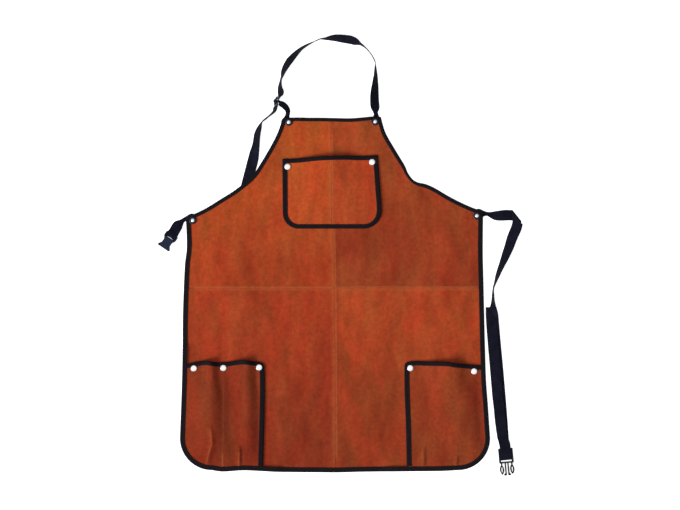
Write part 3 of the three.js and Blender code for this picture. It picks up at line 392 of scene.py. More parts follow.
@dataclass
class Workbench:
    """Moves layout millimetres into the row frame and puts finished pieces on the frame's body."""

    nodes: dict[str, bpy.types.Object]
    shift: Array

    @classmethod
    def from_frame(cls, frame: dict, node: str, place: Sequence[float]) -> Workbench:
        """Finds the layout's origin in the row frame.

        Args:
            node: A node that is round in plan.
            place: Where the layout has that node's middle.

        Returns:
            The bench.
        """
        low, high = (np.array(corner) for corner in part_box(node))
        middle = (low + high) / (2 * MM)
        return cls(frame["nodes"], np.array([middle[0] - place[0], middle[1] - place[1], 0.0]))

    def to_row(self, points: Array) -> Array:
        """Layout millimetres to row metres."""
        return (points + self.shift) * MM

    def mesh(self, name: str, points: Array, faces: Sequence[Array]) -> bpy.types.Object:
        """One mesh object at the origin.

        Args:
            name: The piece's name.
            points: Its corners in layout millimetres.
            faces: Arrays of corner numbers, each with its own number of corners to a face.

        Returns:
            The object.
        """
        data = bpy.data.meshes.new(name)
        data.vertices.add(len(points))
        data.vertices.foreach_set("co", self.to_row(points).astype(np.float32).ravel())
        loops = np.concatenate([part.ravel() for part in faces])
        totals = np.concatenate([np.full(len(part), part.shape[1]) for part in faces])
        data.loops.add(len(loops))
        data.loops.foreach_set("vertex_index", loops.astype(np.int32))
        data.polygons.add(len(totals))
        data.polygons.foreach_set("loop_start", (np.cumsum(totals) - totals).astype(np.int32))
        data.polygons.foreach_set("use_smooth", np.ones(len(totals), bool))
        data.update(calc_edges=True)
        piece = bpy.data.objects.new(name, data)
        bpy.context.scene.collection.objects.link(piece)
        return piece

    def ribbon(
        self,
        name: str,
        middle: Array,
        thickness: Array,
        places: Array,
        ring: bool = False,
        masks: dict[str, Array] | None = None,
    ) -> bpy.types.Object:
        """A closed sheet round a middle surface.

        Each point of the grid moves half the thickness to either side along the surface's normal. The two
        faces share their rim, where the thickness is nothing.

        Args:
            name: The piece's name.
            middle: Grid of points, rows by columns by 3, in layout millimetres.
            thickness: Thickness at each point of the grid.
            places: Flat place of each grid point on the cloth, in millimetres, for its UV map. A ring has
                one row more of these than of points.
            ring: True where the last row joins the first.
            masks: Values of each grid point to keep as attributes.

        Returns:
            The object.
        """
        rows, columns = middle.shape[:2]
        if ring:
            along = np.roll(middle, -1, axis=0) - np.roll(middle, 1, axis=0)
        else:
            along = np.gradient(middle, axis=0)
        normal = unit(np.cross(np.gradient(middle, axis=1), along))
        offset = normal * (thickness / 2)[..., None]
        inner = np.ones((rows, columns), bool)
        inner[:, [0, -1]] = False
        if not ring:
            inner[[0, -1], :] = False
        upper = np.arange(rows * columns).reshape(rows, columns)
        lower = upper.copy()
        lower[inner] = rows * columns + np.arange(np.count_nonzero(inner))
        points = np.concatenate([(middle + offset).reshape(-1, 3), (middle - offset)[inner]])
        closed = [np.vstack([grid, grid[:1]]) if ring else grid for grid in (upper, lower)]
        faces = np.concatenate([quads(closed[0]), quads(closed[1])[:, ::-1]])
        flat = np.arange(places.shape[0] * columns).reshape(-1, columns)
        corners = np.concatenate([quads(flat), quads(flat)[:, ::-1]])
        if signed_volume(points, faces) < 0:
            faces, corners = faces[:, ::-1], corners[:, ::-1]
        piece = self.mesh(name, points, [faces])
        uv = piece.data.uv_layers.new(name="UVMap")
        uv.uv.foreach_set("vector", (places.reshape(-1, 2)[corners.ravel()] * MM).astype(np.float32).ravel())
        for key, values in (masks or {}).items():
            attribute = piece.data.attributes.new(key, "FLOAT", "POINT")
            both = np.concatenate([values.ravel(), values[inner]])
            attribute.data.foreach_set("value", both.astype(np.float32))
        return piece

    def turned(
        self, name: str, profile: Array, centre: Sequence[float], closed: bool = False, sides: int = 48
    ) -> bpy.types.Object:
        """A body turned about a vertical axis.

        Args:
            name: The piece's name.
            profile: Rows of radius and height, from the axis and back to it, or round a closed section.
            centre: Place of the axis in the layout.
            closed: True where the section is closed, which makes a ring.
            sides: Steps round the axis.

        Returns:
            The object.
        """
        turn = np.linspace(0.0, 2 * math.pi, sides, endpoint=False)
        rows = profile if closed else profile[1:-1]
        plan = rows[:, None, :1] * np.stack([np.cos(turn), np.sin(turn)], axis=1) + np.asarray(centre)
        height = np.broadcast_to(rows[:, None, 1:], (len(rows), sides, 1))
        points = np.concatenate([plan, height], axis=-1).reshape(-1, 3)
        index = np.arange(len(points)).reshape(-1, sides)
        index = np.vstack([index, index[:1]]) if closed else index
        grid = np.hstack([index, index[:, :1]])
        faces = [quads(grid)]
        if not closed:
            faces.append(fans(grid, len(points)))
            points = np.concatenate([points, [[*centre, level] for level in profile[[0, -1], 1]]])
        if sum(signed_volume(points, part) for part in faces) < 0:
            faces = [part[:, ::-1] for part in faces]
        return self.mesh(name, points, faces)

    def moulded(
        self, name: str, node: str, bevel: float, swell: float, move: Callable[[Array], Array]
    ) -> bpy.types.Object:
        """A copy of a node's solid with its flat faces made whole and its edges rounded.

        Args:
            name: The piece's name.
            node: The node to copy.
            bevel: Width of the rounding in millimetres.
            swell: How far its corners move out along their normals, in millimetres.
            move: Takes its corners to their new places in the layout.

        Returns:
            The object.
        """
        data = self.nodes[node].data.copy()
        data.name = name
        data.materials.clear()
        shell = bmesh.new()
        shell.from_mesh(data)
        bmesh.ops.remove_doubles(shell, verts=shell.verts, dist=WELD)
        bmesh.ops.dissolve_limit(shell, angle_limit=FLAT_ANGLE, verts=shell.verts, edges=shell.edges)
        shell.to_mesh(data)
        shell.free()
        corners, normals = (np.empty(3 * len(data.vertices), np.float32) for _ in range(2))
        data.vertices.foreach_get("co", corners)
        data.vertex_normals.foreach_get("vector", normals)
        places = corners.reshape(-1, 3) / MM - self.shift + swell * normals.reshape(-1, 3)
        data.vertices.foreach_set("co", self.to_row(move(places)).astype(np.float32).ravel())
        data.update()
        piece = bpy.data.objects.new(name, data)
        bpy.context.scene.collection.objects.link(piece)
        rounding = piece.modifiers.new("Rounded edges", "BEVEL")
        rounding.width = bevel * MM
        rounding.segments = ROUNDING_STEPS
        rounding.limit_method = "ANGLE"
        rounding.angle_limit = SHARP_ANGLE
        rounding.use_clamp_overlap = True
        return piece

    def finish(self, piece: bpy.types.Object, finish: Finish, *replaced: str) -> None:
        """Dresses a piece and seats it on the body.

        Args:
            piece: The object.
            finish: Its finish, which also names the record's slot.
            replaced: Nodes that the piece stands for.
        """
        piece.data.materials.append(finish.material())
        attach(piece, BODY)
        if replaced:
            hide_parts(*replaced)
        LOG.info("%s: %d faces, %s", piece.name, len(piece.data.polygons), finish.name)

    def suede(
        self, node: str, finish: Finish, middle: Array, profile: Array, masks: dict[str, Array], rests_on: str
    ) -> None:
        """A suede sheet round a middle surface.

        Args:
            node: The node that it stands for.
            finish: Its suede.
            middle: Grid of points, rows by columns by 3.
            profile: Share of the full thickness at each point.
            masks: Values of each point to keep as attributes.
            rests_on: Not used.
        """
        piece = self.ribbon(f"suede_{node}", middle, LAYERS.suede * profile, middle[..., :2], masks=masks)
        self.finish(piece, finish, node)
        area = surface_area(middle) * MM**2

    def sew(self, name: str, runs: Sequence[Array], finish: Finish) -> None:
        """Rows of thread along runs of points on the cloth, as one piece."""
        self.finish(self.mesh(name, *Thread().grains(runs)), finish)


def surface_area(middle: Array) -> float:
    """Area of a grid surface, half the cross product of each cell's diagonals.

    Args:
        middle: Grid of points, rows by columns by 3.

    Returns:
        The area in square millimetres.
    """
    first = middle[1:, 1:] - middle[:-1, :-1]
    second = middle[1:, :-1] - middle[:-1, 1:]
    return float(np.linalg.norm(np.cross(first, second), axis=-1).sum() / 2)


@dataclass(frozen=True)
class Thread:
    """A row of sewing: each stitch is a rounded grain of thread that dips into the cloth at both ends."""

    pitch: float = 3.3
    length: float = 2.7
    radius: float = 0.34
    rings: int = 5
    sides: int = 6
    taper: float = 1.9
    rise: float = 0.9
    sink: float = 0.35
    tip_girth: float = 0.35
    tip_length: float = 0.2

    def grains(self, runs: Sequence[Array]) -> tuple[Array, list[Array]]:
        """Stitches along runs of points that lie on the cloth.

        Args:
            runs: Each an array of points, rows by 3, in layout millimetres.

        Returns:
            The corners of all stitches, and their faces.
        """
        points = np.concatenate([self._along(run) for run in runs])
        body = self.rings * self.sides
        base = np.arange(body).reshape(self.rings, self.sides)
        grid = np.hstack([base, base[:, :1]])
        offsets = np.arange(0, len(points), body + 2)[:, None, None]
        faces = [(part + offsets).reshape(-1, part.shape[1]) for part in (quads(grid), fans(grid, body))]
        if sum(signed_volume(points, part) for part in faces) < 0:
            faces = [part[:, ::-1] for part in faces]
        return points, faces

    def _along(self, run: Array) -> Array:
        """Corners of the stitches of one run, stitch after stitch.

        Args:
            run: Points on the cloth.

        Returns:
            The corners: rings round each stitch's own curve, then its two poles.
        """
        total = run_length(run)[-1]
        count = max(int(total // self.pitch), 1)
        middle = (np.arange(count) + 0.5) * total / count
        share = np.linspace(-0.5, 0.5, self.rings)
        centre = at_lengths(run, middle[:, None] + share * self.length)
        heading = unit(np.gradient(centre, axis=1))
        side = unit(np.cross(np.array([0.0, 0.0, 1.0]), heading))
        up = np.cross(heading, side)
        swell = np.sqrt(np.maximum(1.0 - (self.taper * share) ** 2, 0.0))
        centre = centre + up * (self.radius * (self.rise * swell - self.sink))[:, None]
        turn = np.linspace(0.0, 2 * math.pi, self.sides, endpoint=False)
        girth = self.radius * lerp(self.tip_girth, 1.0, swell)
        around = side[:, :, None] * np.cos(turn)[:, None] + up[:, :, None] * np.sin(turn)[:, None]
        rings = centre[:, :, None] + around * girth[:, None, None]
        tips = np.array([[-self.tip_length], [self.tip_length]]) * self.radius
        poles = centre[:, [0, -1]] + heading[:, [0, -1]] * tips
        return np.concatenate([rings.reshape(count, -1, 3), poles], axis=1).reshape(-1, 3)


# Finishes


class NodeTable:
    """Adds nodes to one shader tree and wires them as they are added."""

    def __init__(self, tree: NodeTree) -> None:
        """Keeps the tree that the nodes go into."""
        self.tree = tree

    def add(self, kind: str, inputs: dict | None = None, **settings: object) -> bpy.types.Node:
        """One node.

        Args:
            kind: Blender's name for the node.
            inputs: Values or output sockets for its inputs, by name or number.
            settings: Properties of the node itself.

        Returns:
            The node.
        """
        node = self.tree.nodes.new(kind)
        for key, value in settings.items():
            setattr(node, key, value)
        for key, value in (inputs or {}).items():
            if isinstance(value, Socket):
                self.tree.links.new(value, node.inputs[key])
            else:
                node.inputs[key].default_value = value
        return node

    def math(self, operation: str, first: object, second: object = 0.0) -> Socket:
        """Output of a Math node on two values or sockets."""
        return self.add("ShaderNodeMath", {0: first, 1: second}, operation=operation).outputs[0]

    def noise(self, vector: Socket, scale: float, detail: float = 3.0) -> Socket:
        """Noise value at a scale, in features to a metre."""
        inputs = {"Vector": vector, "Scale": scale, "Detail": detail, "Roughness": 0.55}
        return self.add("ShaderNodeTexNoise", inputs).outputs["Fac"]

    def place(self) -> Socket:
        """Object coordinates."""
        return self.add("ShaderNodeTexCoord").outputs["Object"]

    def mask(self, name: str) -> Socket:
        """A value that the mesh keeps as an attribute."""
        return self.add("ShaderNodeAttribute", attribute_name=name).outputs["Fac"]

    def stretched(self, vector: Socket, scale: Sequence[float]) -> Socket:
        """The vector with each axis scaled."""
        return self.add("ShaderNodeMapping", {"Vector": vector, "Scale": tuple(scale)}).outputs["Vector"]

    def ramp(self, value: object, low: object, high: object, to_low: float, to_high: float) -> Socket:
        """Map Range from low..high to another range, clamped."""
        inputs = {"Value": value, "From Min": low, "From Max": high, "To Min": to_low, "To Max": to_high}
        return self.add("ShaderNodeMapRange", inputs).outputs["Result"]

    def give(self, result: bpy.types.Node, **values: Socket) -> None:
        """Wires a group's outputs, by name."""
        for name, socket in values.items():
            self.tree.links.new(socket, result.inputs[name])

    def blend(self, factor: object, first: object, second: object, mode: str = "MIX") -> Socket:
        """Colour Mix of two colours or sockets."""
        inputs = {0: factor, 6: first, 7: second}
        return self.add("ShaderNodeMix", inputs, data_type="RGBA", blend_type=mode).outputs[2]


def rgba(colour: Colour) -> tuple[float, float, float, float]:
    """Linear colour with full alpha from an sRGB colour of 0 to 255."""
    linear = [(c / 255) / 12.92 if c <= 10 else ((c / 255 + 0.055) / 1.055) ** 2.4 for c in colour]
    return (*linear, 1.0)


class Effect(Enum):
    """Shader node groups that more than one finish uses."""

    NAP = "Suede nap"
    WEAVE = "Woven threads"
    SPECKLE = "Fine speckle"

    def group(self) -> NodeTree:
        """The group, built the first time that it is asked for.

        Returns:
            The node tree.
        """
        made = bpy.data.node_groups.get(self.value)
        if made is None:
            made = bpy.data.node_groups.new(self.value, "ShaderNodeTree")
            {Effect.NAP: fill_nap, Effect.WEAVE: fill_weave, Effect.SPECKLE: fill_speckle}[self](made)
        return made


def sockets(
    tree: NodeTree, inputs: dict[str, object]
) -> tuple[NodeTable, bpy.types.bpy_prop_collection, bpy.types.Node]:
    """Declares a group's sockets: a vector and its own inputs, and out a colour, a height and a roughness.

    Args:
        tree: The group.
        inputs: Default of each input, by name, where a tuple is a colour.

    Returns:
        A table for its nodes, its input sockets and its output node.
    """
    tree.interface.new_socket("Vector", in_out="INPUT", socket_type="NodeSocketVector")
    for name, value in inputs.items():
        kind = "NodeSocketColor" if isinstance(value, tuple) else "NodeSocketFloat"
        tree.interface.new_socket(name, in_out="INPUT", socket_type=kind).default_value = value
    for name, kind in (("Color", "Color"), ("Height", "Float"), ("Roughness", "Float")):
        tree.interface.new_socket(name, in_out="OUTPUT", socket_type=f"NodeSocket{kind}")
    table = NodeTable(tree)
    return table, table.add("NodeGroupInput").outputs, table.add("NodeGroupOutput")


def fill_nap(tree: NodeTree) -> None:
    """Suede: hide blotches, streaks along the length, brushed nap, a paler tan that is partly worn nap and
    partly painted highlight, and painted shade.

    Args:
        tree: The group to fill.
    """
    tan = (0.3, 0.05, 0.02, 1.0)
    inputs = {"Upper": tan, "Lower": tan, "Rubbed": tan, "Wear": 0.0, "Shade": 0.0, "Low": -0.4, "High": 0.25}
    table, given, result = sockets(tree, inputs)
    vector = given["Vector"]
    height = table.add("ShaderNodeSeparateXYZ", {"Vector": vector}).outputs["Y"]
    hide = table.noise(table.stretched(vector, (1.0, 0.7, 1.0)), 9.0, 4.0)
    streak = table.noise(table.stretched(vector, (1.0, 0.3, 1.0)), 46.0, 4.0)
    mottle = table.noise(vector, 150.0, 5.0)
    nap = table.noise(table.stretched(vector, (1.0, 0.5, 1.0)), 1500.0, 3.0)
    fibre = table.noise(vector, 5200.0, 2.0)
    share = table.ramp(height, given["Low"], given["High"], 0.0, 1.0)
    level = table.math("ADD", share, table.ramp(hide, 0.3, 0.7, -0.22, 0.22))
    tone = table.blend(level, given["Lower"], given["Upper"])
    light = table.ramp(hide, 0.25, 0.75, 0.82, 1.18)
    for noise, depth in ((streak, 0.2), (mottle, 0.18), (nap, 0.18)):
        light = table.math("MULTIPLY", light, table.ramp(noise, 0.25, 0.75, 1.0 - depth, 1.0 + depth))
    grey = table.add("ShaderNodeCombineColor", {0: light, 1: light, 2: light}).outputs[0]
    # Painted shade: where the shade attribute is set, the colour darkens towards burgundy in place of shadow
    # in pocket creases and on slopes that face away from the key light.
    painted_shade_tint = table.blend(given["Shade"], (1.0, 1.0, 1.0, 1.0), (0.5, 0.44, 0.62, 1.0))
    patch = table.ramp(table.noise(table.stretched(vector, (1.0, 0.4, 1.0)), 24.0, 3.0), 0.36, 0.64, 0.0, 1.0)
    warmth = table.blend(patch, (1.07, 0.88, 0.92, 1.0), (0.94, 1.12, 1.04, 1.0))
    for tint in (grey, painted_shade_tint, warmth):
        tone = table.blend(1.0, tone, tint, "MULTIPLY")
    # Paler tan along seams and fold crests: partly worn nap, partly painted highlight on raised edges that
    # face the key light.
    rubbed = table.math("MULTIPLY", given["Wear"], table.ramp(mottle, 0.3, 0.7, 0.55, 1.0))
    tone = table.blend(rubbed, tone, given["Rubbed"])
    pile = table.math("ADD", nap, table.math("MULTIPLY", fibre, 0.5))
    pile = table.math("ADD", pile, table.math("MULTIPLY", mottle, 1.6))
    table.give(result, Color=tone, Height=pile, Roughness=table.ramp(nap, 0.2, 0.8, 0.86, 1.0))


def fill_weave(tree: NodeTree) -> None:
    """Plain weave on a UV map in metres: the product of two sines, one to each set of threads, with painted
    shade where the webbing stands on edge.

    Args:
        tree: The group to fill.
    """
    thread, hollow = (0.02, 0.02, 0.02, 1.0), (0.005, 0.005, 0.005, 1.0)
    inputs = {"Warp pitch": 0.001, "Weft pitch": 0.001, "Thread": thread, "Gap": hollow, "Shade": 0.0}
    table, given, result = sockets(tree, inputs)
    place = table.add("ShaderNodeSeparateXYZ", {"Vector": given["Vector"]}).outputs
    ways = (("X", "Warp pitch"), ("Y", "Weft pitch"))
    counts = [table.math("DIVIDE", place[axis], given[pitch]) for axis, pitch in ways]
    warp, weft = (table.math("SINE", table.math("MULTIPLY", count, math.pi)) for count in counts)
    over = table.math("MULTIPLY", warp, weft)
    ribs = table.math("MULTIPLY", table.math("ABSOLUTE", warp), table.math("ABSOLUTE", weft))
    fuzz = table.noise(given["Vector"], 2600.0, 3.0)
    cloud = table.noise(given["Vector"], 60.0, 3.0)
    cover = table.ramp(over, -1.0, 1.0, 0.25, 0.75)
    cover = table.math("ADD", cover, table.ramp(ribs, 0.0, 1.0, -0.35, 0.25))
    cover = table.math("ADD", cover, table.ramp(cloud, 0.3, 0.7, -0.18, 0.18))
    tone = table.blend(cover, given["Gap"], given["Thread"])
    # Painted shade: the shade attribute darkens the weave where the webbing stands on edge.
    tone = table.blend(given["Shade"], tone, (0.0, 0.0, 0.002, 1.0))
    raised = table.math("ADD", table.math("MULTIPLY", ribs, 0.9), table.math("MULTIPLY", over, 0.35))
    raised = table.math("ADD", raised, table.math("MULTIPLY", fuzz, 0.35))
    table.give(result, Color=tone, Height=raised, Roughness=table.ramp(fuzz, 0.25, 0.75, 0.6, 0.86))


def fill_speckle(tree: NodeTree) -> None:
    """Fine handling marks of hard pieces: specks and hairlines that vary the tone and the gloss.

    Args:
        tree: The group to fill.
    """
    inputs = {"Base": (0.5, 0.5, 0.5, 1.0), "Dull": (0.4, 0.4, 0.4, 1.0), "Gloss": 0.3, "Spread": 0.15}
    table, given, result = sockets(tree, inputs)
    cloud = table.noise(given["Vector"], 240.0, 4.0)
    speck = table.noise(given["Vector"], 2400.0, 3.0)
    hair = table.noise(table.stretched(given["Vector"], (1.0, 12.0, 1.0)), 520.0, 2.0)
    tone = table.blend(table.ramp(cloud, 0.35, 0.7, 0.0, 1.0), given["Base"], given["Dull"])
    worn = table.math("MULTIPLY", table.ramp(hair, 0.3, 0.75, -0.5, 1.0), given["Spread"])
    table.give(result, Color=tone, Height=speck, Roughness=table.math("ADD", given["Gloss"], worn))


@dataclass(frozen=True)
class Finish:
    """A named surface finish: one Principled shader fed by an effect group."""

    name: str
    slot: str

    def material(self) -> bpy.types.Material:
        """The material, built the first time that it is asked for.

        Returns:
            The material.
        """
        made = bpy.data.materials.get(self.name)
        if made is None:
            made = bpy.data.materials.new(self.name)
            made.use_nodes = True
            made.node_tree.nodes.clear()
            self.wire(NodeTable(made.node_tree))
        return made

    def wire(self, table: NodeTable) -> None:
        """Adds the shader; each kind of finish has its own."""
        raise NotImplementedError

    def shade(self, table: NodeTable, kind: Effect, inputs: dict, relief: Pair, shader: dict) -> None:
        """Places an effect group and connects it to a Principled shader.

        Args:
            table: The material's nodes.
            kind: The effect.
            inputs: This finish's values for it.
            relief: Strength of the relief, and its depth in millimetres.
            shader: Plain values of the shader.
        """
        effect = table.add("ShaderNodeGroup", inputs, node_tree=kind.group()).outputs
        bump = {"Strength": relief[0], "Distance": relief[1] * MM, "Height": effect["Height"]}
        normal = table.add("ShaderNodeBump", bump).outputs["Normal"]
        wired = {"Base Color": effect["Color"], "Roughness": effect["Roughness"], "Normal": normal}
        principled = table.add("ShaderNodeBsdfPrincipled", {**shader, **wired})
        table.add("ShaderNodeOutputMaterial", {"Surface": principled.outputs["BSDF"]})


@dataclass(frozen=True)
class Suede(Finish):
    """Brushed split leather that deepens from the bib to the hem."""

    upper: Colour
    lower: Colour
    low: float
    high: float
    # Paler tan for seams and fold crests: partly worn nap, partly painted highlight.
    rubbed: Colour = (190, 100, 54)

    def wire(self, table: NodeTable) -> None:
        """Suede nap in Object coordinates, with a soft sheen.

        Args:
            table: The material's nodes.
        """
        # Two attribute masks: paler tan, partly worn nap and partly painted highlight, and painted shade.
        inputs = {
            "Vector": table.place(), "Upper": rgba(self.upper), "Lower": rgba(self.lower),
            "Rubbed": rgba(self.rubbed), "Wear": table.mask("wear"), "Shade": table.mask("shade"),
            "Low": self.low, "High": self.high,
        }
        sheen = {"Sheen Weight": 0.04, "Sheen Roughness": 0.5, "Sheen Tint": (1.0, 0.5, 0.25, 1.0)}
        self.shade(table, Effect.NAP, inputs, (0.55, 0.35), {**sheen, "Specular IOR Level": 0.05})


@dataclass(frozen=True)
class Woven(Finish):
    """Woven tape or webbing."""

    thread: Colour
    hollow: Colour
    warp_mm: float
    weft_mm: float
    depth_mm: float
    sheen: float = 0.02
    specular: float = 0.12

    def wire(self, table: NodeTable) -> None:
        """Weave on the cloth's own UV map.

        Args:
            table: The material's nodes.
        """
        # The shade attribute is painted shade on webbing that stands on edge.
        inputs = {
            "Vector": table.add("ShaderNodeUVMap", uv_map="UVMap").outputs["UV"],
            "Warp pitch": self.warp_mm * MM, "Weft pitch": self.weft_mm * MM,
            "Thread": rgba(self.thread), "Gap": rgba(self.hollow), "Shade": table.mask("shade"),
        }
        gloss = {"Sheen Weight": self.sheen, "Sheen Roughness": 0.4, "Specular IOR Level": self.specular}
        self.shade(table, Effect.WEAVE, inputs, (0.8, self.depth_mm), gloss)


@dataclass(frozen=True)
class Hard(Finish):
    """Metal or moulded plastic."""

    base: Colour
    dull: Colour
    gloss: float
    spread: float
    metallic: float = 0.0
    specular: float = 0.5
    relief: Pair = (0.12, 0.05)

    def wire(self, table: NodeTable) -> None:
        """Speckle in Object coordinates.

        Args:
            table: The material's nodes.
        """
        tones = {"Base": rgba(self.base), "Dull": rgba(self.dull)}
        inputs = {"Vector": table.place(), **tones, "Gloss": self.gloss, "Spread": self.spread}
        gloss = {"Metallic": self.metallic, "Specular IOR Level": self.specular}
        self.shade(table, Effect.SPECKLE, inputs, self.relief, gloss)


@dataclass(frozen=True)
class Sewing(Hard):
    """Spun sewing thread, matt and with a coarser relief."""

    gloss: float = 0.6
    spread: float = 0.2
    specular: float = 0.3
    relief: Pair = (0.3, 0.1)


SUEDE_UPPER_LEFT = Suede("Suede upper left", "suede_light", (179, 78, 36), (165, 65, 34), -0.03, 0.23)
SUEDE_UPPER_RIGHT = Suede("Suede upper right", "suede_mid", (159, 70, 36), (147, 58, 33), -0.03, 0.23)
SUEDE_LOWER_LEFT = Suede("Suede lower left", "suede_mid", (167, 64, 35), (141, 54, 32), -0.38, -0.12)
SUEDE_LOWER_RIGHT = Suede("Suede lower right", "suede_mid", (167, 67, 35), (144, 57, 32), -0.38, -0.12)
SUEDE_CHEST_LEFT = Suede("Suede chest left", "suede_light", (182, 76, 36), (178, 72, 36), 0.06, 0.18)
SUEDE_CHEST_RIGHT = Suede("Suede chest right", "suede_mid", (174, 69, 36), (172, 68, 36), 0.06, 0.18)
SUEDE_TOOL = Suede("Suede tool pocket", "suede_dark", (144, 58, 33), (138, 54, 31), -0.4, -0.21)
SUEDE_HAND = Suede("Suede hand pocket", "suede_dark", (148, 62, 34), (140, 57, 32), -0.4, -0.21)
TAPE = Woven("Binding tape", "tape", (27, 21, 29), (10, 7, 11), 0.55, 0.55, 0.12)
WEBBING = Woven("Strap webbing", "webbing", (37, 38, 55), (13, 13, 20), 1.25, 0.9, 0.28, 0.0, 0.02)
NICKEL = Hard("Nickel plate", "nickel", (250, 250, 250), (240, 241, 242), 0.3, 0.06, 0.35)
BLACK_METAL = Hard("Blackened washer", "black_metal", (24, 29, 46), (14, 17, 27), 0.4, 0.12, 0.0, 0.25)
MOULDED = Hard("Moulded buckle", "plastic", (35, 45, 67), (25, 32, 49), 0.5, 0.14, 0.0, 0.1)
MOULDED_PRONGS = Hard("Moulded prongs", "plastic", (20, 21, 28), (13, 14, 19), 0.5, 0.14, 0.0, 0.1)
PALE_THREAD = Sewing("Tan thread", "suede_light", (190, 104, 58), (160, 76, 42))
BROWN_THREAD = Sewing("Brown thread", "suede_dark", (150, 74, 44), (122, 56, 34))
DARK_THREAD = Sewing("Black thread", "tape", (36, 29, 34), (17, 13, 16))


# Shape of the body


@dataclass
class BodyOutline:
    """The body's outer edge, at the fold of its tape, as one counter-clockwise loop."""

    left_side: Table = (
        (-283.1, 133.6), (-281.3, 79.8), (-285.2, 43.7), (-287.8, -13.3), (-289.1, -60.0), (-289.4, -110.0),
        (-290.9, -186.2), (-294.5, -285.0),
    )
    right_side: Table = (
        (294.5, -285.0), (290.5, -224.2), (286.7, -171.0), (284.6, -98.8), (282.4, -3.8), (280.7, 72.2),
        (281.2, 145.2),
    )
    right_armhole: Table = (
        (281.2, 145.2), (261.3, 152.4), (238.5, 162.5), (215.7, 174.4), (192.9, 188.0), (181.5, 193.8),
        (170.1, 198.0), (158.2, 200.4), (147.9, 206.0), (138.5, 218.5), (131.9, 233.6), (113.4, 264.2),
        (96.0, 294.8), (87.0, 325.0),
    )
    bib_top: Table = (
        (87.0, 325.0), (70.3, 325.5), (55.1, 324.2), (39.9, 322.8), (24.7, 322.2), (9.5, 322.6),
        (-20.9, 323.3), (-51.3, 323.3), (-66.5, 323.7), (-98.8, 323.3),
    )
    left_armhole: Table = (
        (-98.8, 323.3), (-112.3, 287.3), (-139.1, 239.8), (-158.1, 212.4), (-188.6, 187.0), (-218.7, 167.8),
        (-248.9, 149.4), (-283.1, 133.6),
    )
    bottom: Table = (
        (-233.7, -345.8), (-219.5, -348.2), (-208.0, -348.5), (-195.0, -347.6), (-181.5, -346.5),
        (-165.0, -346.4), (-141.6, -347.5), (-103.6, -349.4), (-27.6, -350.2), (10.5, -350.3),
        (48.5, -349.2), (124.5, -348.3), (200.5, -347.5), (233.7, -345.8),
    )
    hem_radius: float = 60.8
    hem_centre: Pair = (233.7, -285.0)
    hem_bow: float = 3.8
    seam_slope_above: float = -0.0234
    seam_slope_below: float = -0.0055
    pitch: float = 2.0
    points: Array = field(init=False)
    mitres: Array = field(init=False)
    edge: Array = field(init=False)
    spans: dict[Stretch, Array] = field(init=False)

    def __post_init__(self) -> None:
        """Joins the four stretches and insets the suede's own edge."""
        paths = {
            Stretch.HEM: self._hem(),
            Stretch.ARMHOLE_RIGHT: catmull_rom(self.right_armhole),
            Stretch.BIB_TOP: catmull_rom(self.bib_top),
            Stretch.ARMHOLE_LEFT: catmull_rom(self.left_armhole),
        }
        parts = {stretch: even(path, self.pitch) for stretch, path in paths.items()}
        self.points = np.concatenate([part[:-1] for part in parts.values()])
        self.mitres = inward_mitres(self.points, closed=True)
        self.edge = self.points + self.mitres * LAYERS.edge_depth
        starts = np.cumsum([0] + [len(part) - 1 for part in parts.values()])
        self.spans = {
            stretch: np.arange(start, start + len(part)) % len(self.points)
            for (stretch, part), start in zip(parts.items(), starts)
        }
        hem = self.edge[self.spans[Stretch.HEM]]
        bottom = hem[hem[:, 1] < self.hem_centre[1] - self.hem_radius / 2]
        self._bottom = bottom[np.argsort(bottom[:, 0])]
        top = self.edge[self.spans[Stretch.BIB_TOP]]
        self._top = top[np.argsort(top[:, 0])]
        self.base = float(np.interp(self.hem_centre[0], self._bottom[:, 0], self._bottom[:, 1]))

    def _hem(self) -> Array:
        """Left side, round corner, uneven bottom, round corner and right side."""
        x, y = self.hem_centre
        return np.concatenate(
            [
                catmull_rom(self.left_side)[:-1],
                arc((-x, y), self.hem_radius, 180, 270)[:-1],
                catmull_rom(self.bottom, 16)[:-1],
                arc((x, y), self.hem_radius, 270, 360)[:-1],
                catmull_rom(self.right_side),
            ]
        )

    def bottom_edge(self, x: Array) -> Array:
        """Height of the suede's bottom edge."""
        return np.interp(x, self._bottom[:, 0], self._bottom[:, 1])

    def top_edge(self, x: Array) -> Array:
        """Height of the suede's top edge."""
        return np.interp(x, self._top[:, 0], self._top[:, 1])

    def seam(self, y: Array) -> Array:
        """Centre seam, which leans a little differently above and below the waist."""
        return y * np.where(y > 0, self.seam_slope_above, self.seam_slope_below)

    def side(self, side: Side) -> tuple[Array, Array, float]:
        """One side of the suede from hem to bib.

        Args:
            side: Which side.

        Returns:
            Heights, the edge's x at each, and the height of the corner under the arm.
        """
        hem = self.edge[self.spans[Stretch.HEM]]
        outer = (side.value * hem[:, 0] > self.hem_centre[0]) & (hem[:, 1] > self.base + 0.02)
        arm = Stretch.ARMHOLE_LEFT if side is Side.LEFT else Stretch.ARMHOLE_RIGHT
        armhole = self.edge[self.spans[arm]]
        corner = armhole[-1 if side is Side.LEFT else 0, 1]
        start = np.array([[side.value * self.hem_centre[0], self.base]])
        line = np.concatenate([start, hem[outer], armhole])
        line = line[np.argsort(line[:, 1], kind="stable")]
        return line[:, 1], line[:, 0], float(corner)

    def bowed(self, x: Array, level: Array) -> Array:
        """A level moved down towards the bowed bottom edge, by a share that grows from the hem's corners.

        Args:
            x: Places across.
            level: Levels over a straight bottom edge.

        Returns:
            The moved levels.
        """
        reach = self.hem_centre[1] - self.base
        share = np.clip((self.hem_centre[1] - level) / reach, 0.0, 1.0)
        inside = np.clip(x, -self.hem_centre[0], self.hem_centre[0])
        return level + share * (self.bottom_edge(inside) - self.base)

    def hem_levels(self, top: float, pitch: float) -> Array:
        """Levels from the bottom edge up to a rounded rim."""
        return rounded_levels(self.base, self.hem_centre[1], top, pitch, 34)


